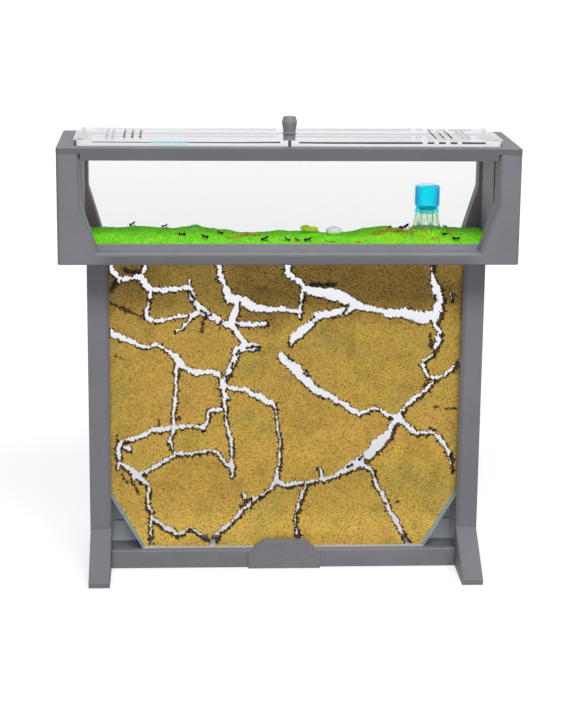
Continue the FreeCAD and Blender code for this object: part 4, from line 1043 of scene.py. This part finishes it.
# Kind, darker and lighter screen colour, share of all seeds.
HUSKS = [("orange", (186, 154, 22), (222, 190, 48), 0.5), ("brown", (120, 82, 12), (172, 124, 24), 0.3),
         ("straw", (206, 184, 50), (238, 218, 100), 0.2)]
HEAP_EDGE = 15.2
# Pieces of white grit and the middle of their heap.
GRIT, GRIT_X, GRIT_Y = 9, -41.5, 7.9


def aimed(turn, tip):
    """Unit vector at an angle round from +X, and at an angle up from the ground."""
    return Vector((cos(turn) * cos(tip), sin(turn) * cos(tip), sin(tip)))


def seeds():
    """Husked seeds scattered in heaps, and a few pieces of white grit."""
    chance = random.Random(5)
    shape = Shape()
    for x1, y1, x2, y2, spread, count in SEED_HEAPS:
        for _ in range(count):
            share = chance.random()
            x = (x1 + (x2 - x1) * share + chance.gauss(0, spread * 0.4)) * MM
            y = y1 + (y2 - y1) * share + chance.gauss(0, spread * 0.6)
            y = max(-HEAP_EDGE, min(HEAP_EDGE, y)) * MM
            turn, tip = chance.gauss(0.4, 0.6), chance.uniform(0.1, 1)
            long, thick = chance.uniform(0.42, 0.72) * MM, chance.uniform(0.17, 0.27) * MM
            nose = aimed(turn, tip)
            over = nose.cross(Vector((0, 0, 1))).normalized()
            rest = bed_height(x, y) + 0.5 * long * sin(tip) + 0.6 * thick
            rest += chance.random() ** 2 * 0.22 * spread * MM * (4 * share * (1 - share))
            kind = chance.choices(range(3), [often for _, _, _, often in HUSKS])[0]
            axes = (nose * long, over * thick, nose.cross(over) * thick * 0.8)
            shape.blob(Vector((x, y, rest)), axes, kind, 5, 7, 0.25)
    husks = [speckled("seed_" + kind, low, high, 1400, 0.7, 0.0001, 0.2) for kind, low, high, _ in HUSKS]
    shape.make("seeds", husks, "outworld", "seed_husk")
    grit = Shape()
    for _ in range(GRIT):
        x, y = (GRIT_X + chance.gauss(0, 1)) * MM, (GRIT_Y + chance.gauss(0, 2)) * MM
        size = chance.uniform(0.2, 0.42) * MM
        axes = (Vector((size, 0, 0)), Vector((0, size * 0.8, 0)), Vector((0, 0, size * 0.7)))
        grit.blob(on_bed(x, y, 0.5 * size), axes, 0, 4, 6)
    grit.make("white_grit", [speckled("white_grit", (226, 226, 214), (248, 248, 240), 900, 0.7, 0.0001)],
              "outworld", "white_stone")


# ==== Ants

# Ants in the box: (x, y, heading, rise, length), in mm on the green sand and degrees.
BOX_ANTS = [
    (-68.8, 14.6, 5, 33, 3.2), (-54.2, 14.8, 8, 20, 3), (-46.5, -2, 176, 3, 3.5), (-36.4, -7, 185, 22, 3.6),
    (-29.5, 0, 190, 18, 3), (-10, -12, 10, 24, 3.6), (-0.3, -14, 172, 28, 3), (4.1, -14, 186, 30, 2.6),
    (8.9, -14, 4, 17, 3.5), (47.8, 12, 60, 5, 2.6), (54.6, 14.2, 12, 22, 5.2), (73.3, 14.9, 120, 6, 2.6),
    (71.6, 2, 40, 6, 2.6), (74.8, -13, 358, 2, 3.6),
]
# Ants on the inner face of the front sheet: (x, z, heading, length), in mm from its foot and degrees.
NEST_ANTS = [
    (-42.4, 119.8, 120, 4.2), (-41.3, 116.9, 60, 3.6), (-37, 111.6, 150, 4), (-34.5, 110.1, 20, 3.6),
    (-29.5, 106.2, 60, 4), (-16.2, 95.2, 10, 3.6), (-13.6, 95.6, 170, 3.8), (-12.4, 94.4, 30, 3.4),
    (26.7, 111.9, 60, 3.6), (67.4, 118, 100, 4), (12.1, 108.7, 45, 3.4), (-23.9, 86.9, 80, 3.6),
    (-21.4, 92.9, 60, 3.6), (-26.4, 80.8, 100, 3.8), (2.5, 89.7, 150, 3.6), (9.3, 82.6, 140, 3.4),
    (30.3, 39.2, 30, 3.8), (35.3, 43.1, 50, 3.6),
]
# Parts of an ant's body, against its length: (along, up, half length, half width, half depth, taper, lean).
ANT_BODY = [(-0.31, 0.04, 0.2, 0.14, 0.145, -0.15, -0.15), (-0.1, -0.02, 0.05, 0.045, 0.06, 0, 0),
            (0.05, 0.01, 0.15, 0.085, 0.095, 0.2, 0.08), (0.16, 0.02, 0.08, 0.07, 0.075, 0, 0),
            (0.32, 0.03, 0.13, 0.12, 0.1, -0.2, -0.25)]
# Its legs: (hip along, how far ahead of the hip the foot stands).
ANT_LEGS = [(0.15, 0.24), (0.06, 0.02), (-0.03, -0.26)]
# The bodies are this much stouter than the table says.
STOUT = 1.3


def ant(shape, middle, nose, back, length, ground):
    """One ant: nose and back are unit vectors, ground gives the point under a foot."""
    side = back.cross(nose).normalized()
    back = nose.cross(side).normalized()

    def at(along, across=0, up=0):
        return middle + nose * (along * length) + side * (across * length) + back * (up * length)

    def limb(points, radii):
        shape.tube(points, [radius * length for radius in radii])

    for along, up, long, wide, deep, taper, lean in ANT_BODY:
        axis = (nose * cos(lean) + back * sin(lean)).normalized()
        over = axis.cross(side).normalized()
        axes = (axis * (long * length), side * (wide * STOUT * length), -over * (deep * STOUT * length))
        shape.blob(at(along, 0, up), axes, 0, 7, 9, taper)
    for hand in (-1, 1):
        for root, reach in ANT_LEGS:
            hip = at(root, 0.03 * hand, -0.03)
            foot = ground(at(root + reach, 0.36 * hand, -0.2))
            knee = hip.lerp(foot, 0.45) + back * (0.14 * length)
            limb([hip, knee, foot.lerp(knee, 0.25), foot], [0.04, 0.036, 0.028, 0.022])
        limb([at(0.38, 0.03 * hand, 0.03), at(0.47, 0.13 * hand, 0.12), at(0.56, 0.17 * hand, 0.04)],
             [0.022, 0.02, 0.016])
        limb([at(0.37, 0.03 * hand, 0), at(0.43, 0.03 * hand, -0.01), at(0.45, 0, -0.01)],
             [0.014, 0.012, 0.006])


def ants():
    shell = speckled("ant_shell", (5, 5, 5), (16, 13, 12), 1500, 0.6, 0.00005, 0.12)
    box = Shape()
    for x, y, heading, rise, length in BOX_ANTS:
        length, turn, tip = length * MM, radians(heading), radians(rise)
        back = Vector((-cos(turn) * sin(tip), -sin(turn) * sin(tip), cos(tip)))
        clear = 0.2 * length + 0.36 * length * sin(tip)
        middle = on_bed(x * MM, y * MM, clear)
        ant(box, middle, aimed(turn, tip), back, length, lambda foot: on_bed(foot.x, foot.y))
    box.make("box_ants", [shell], "outworld", "ant_shell")
    nest = Shape()
    sheet_low, sheet_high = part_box("nest_front_sheet")
    foot_z, inner = sheet_low[2], sheet_high[1]
    for x, z, heading, length in NEST_ANTS:
        length, turn = length * MM, radians(heading)
        middle = Vector((x * MM, inner + 0.22 * length, foot_z + z * MM))
        ant(nest, middle, Vector((cos(turn), 0, sin(turn))), Vector((0, 1, 0)), length,
            lambda foot: Vector((foot.x, inner + 0.00003, foot.z)))
    nest.make("nest_ants", [shell], "stand", "ant_shell")


make_camera()
make_stage()
dress_frame()
# The galleries' rims are near black: painted shade of the gallery walls.
nest_islands(nest_sand(), speckled("gallery_rim_painted_shade", (16, 10, 5), (44, 30, 14), *DUG),
             speckled("dug_wall", (120, 92, 40), (168, 134, 66), *DUG))
green_bed(green_sand())
bed_grains()
pebble("green_pebble", "lime_stone", "green_stone", (146, 216, 14), (240, 246, 32), 130, 0.45, 0.22, 1)
pebble("white_pebble", "chalk_stone", "white_stone", (250, 242, 250), (255, 250, 255), 220, 0.6)
drinker_cup()
seeds()
ants()

bpy.context.scene.view_settings.view_transform = "Standard"
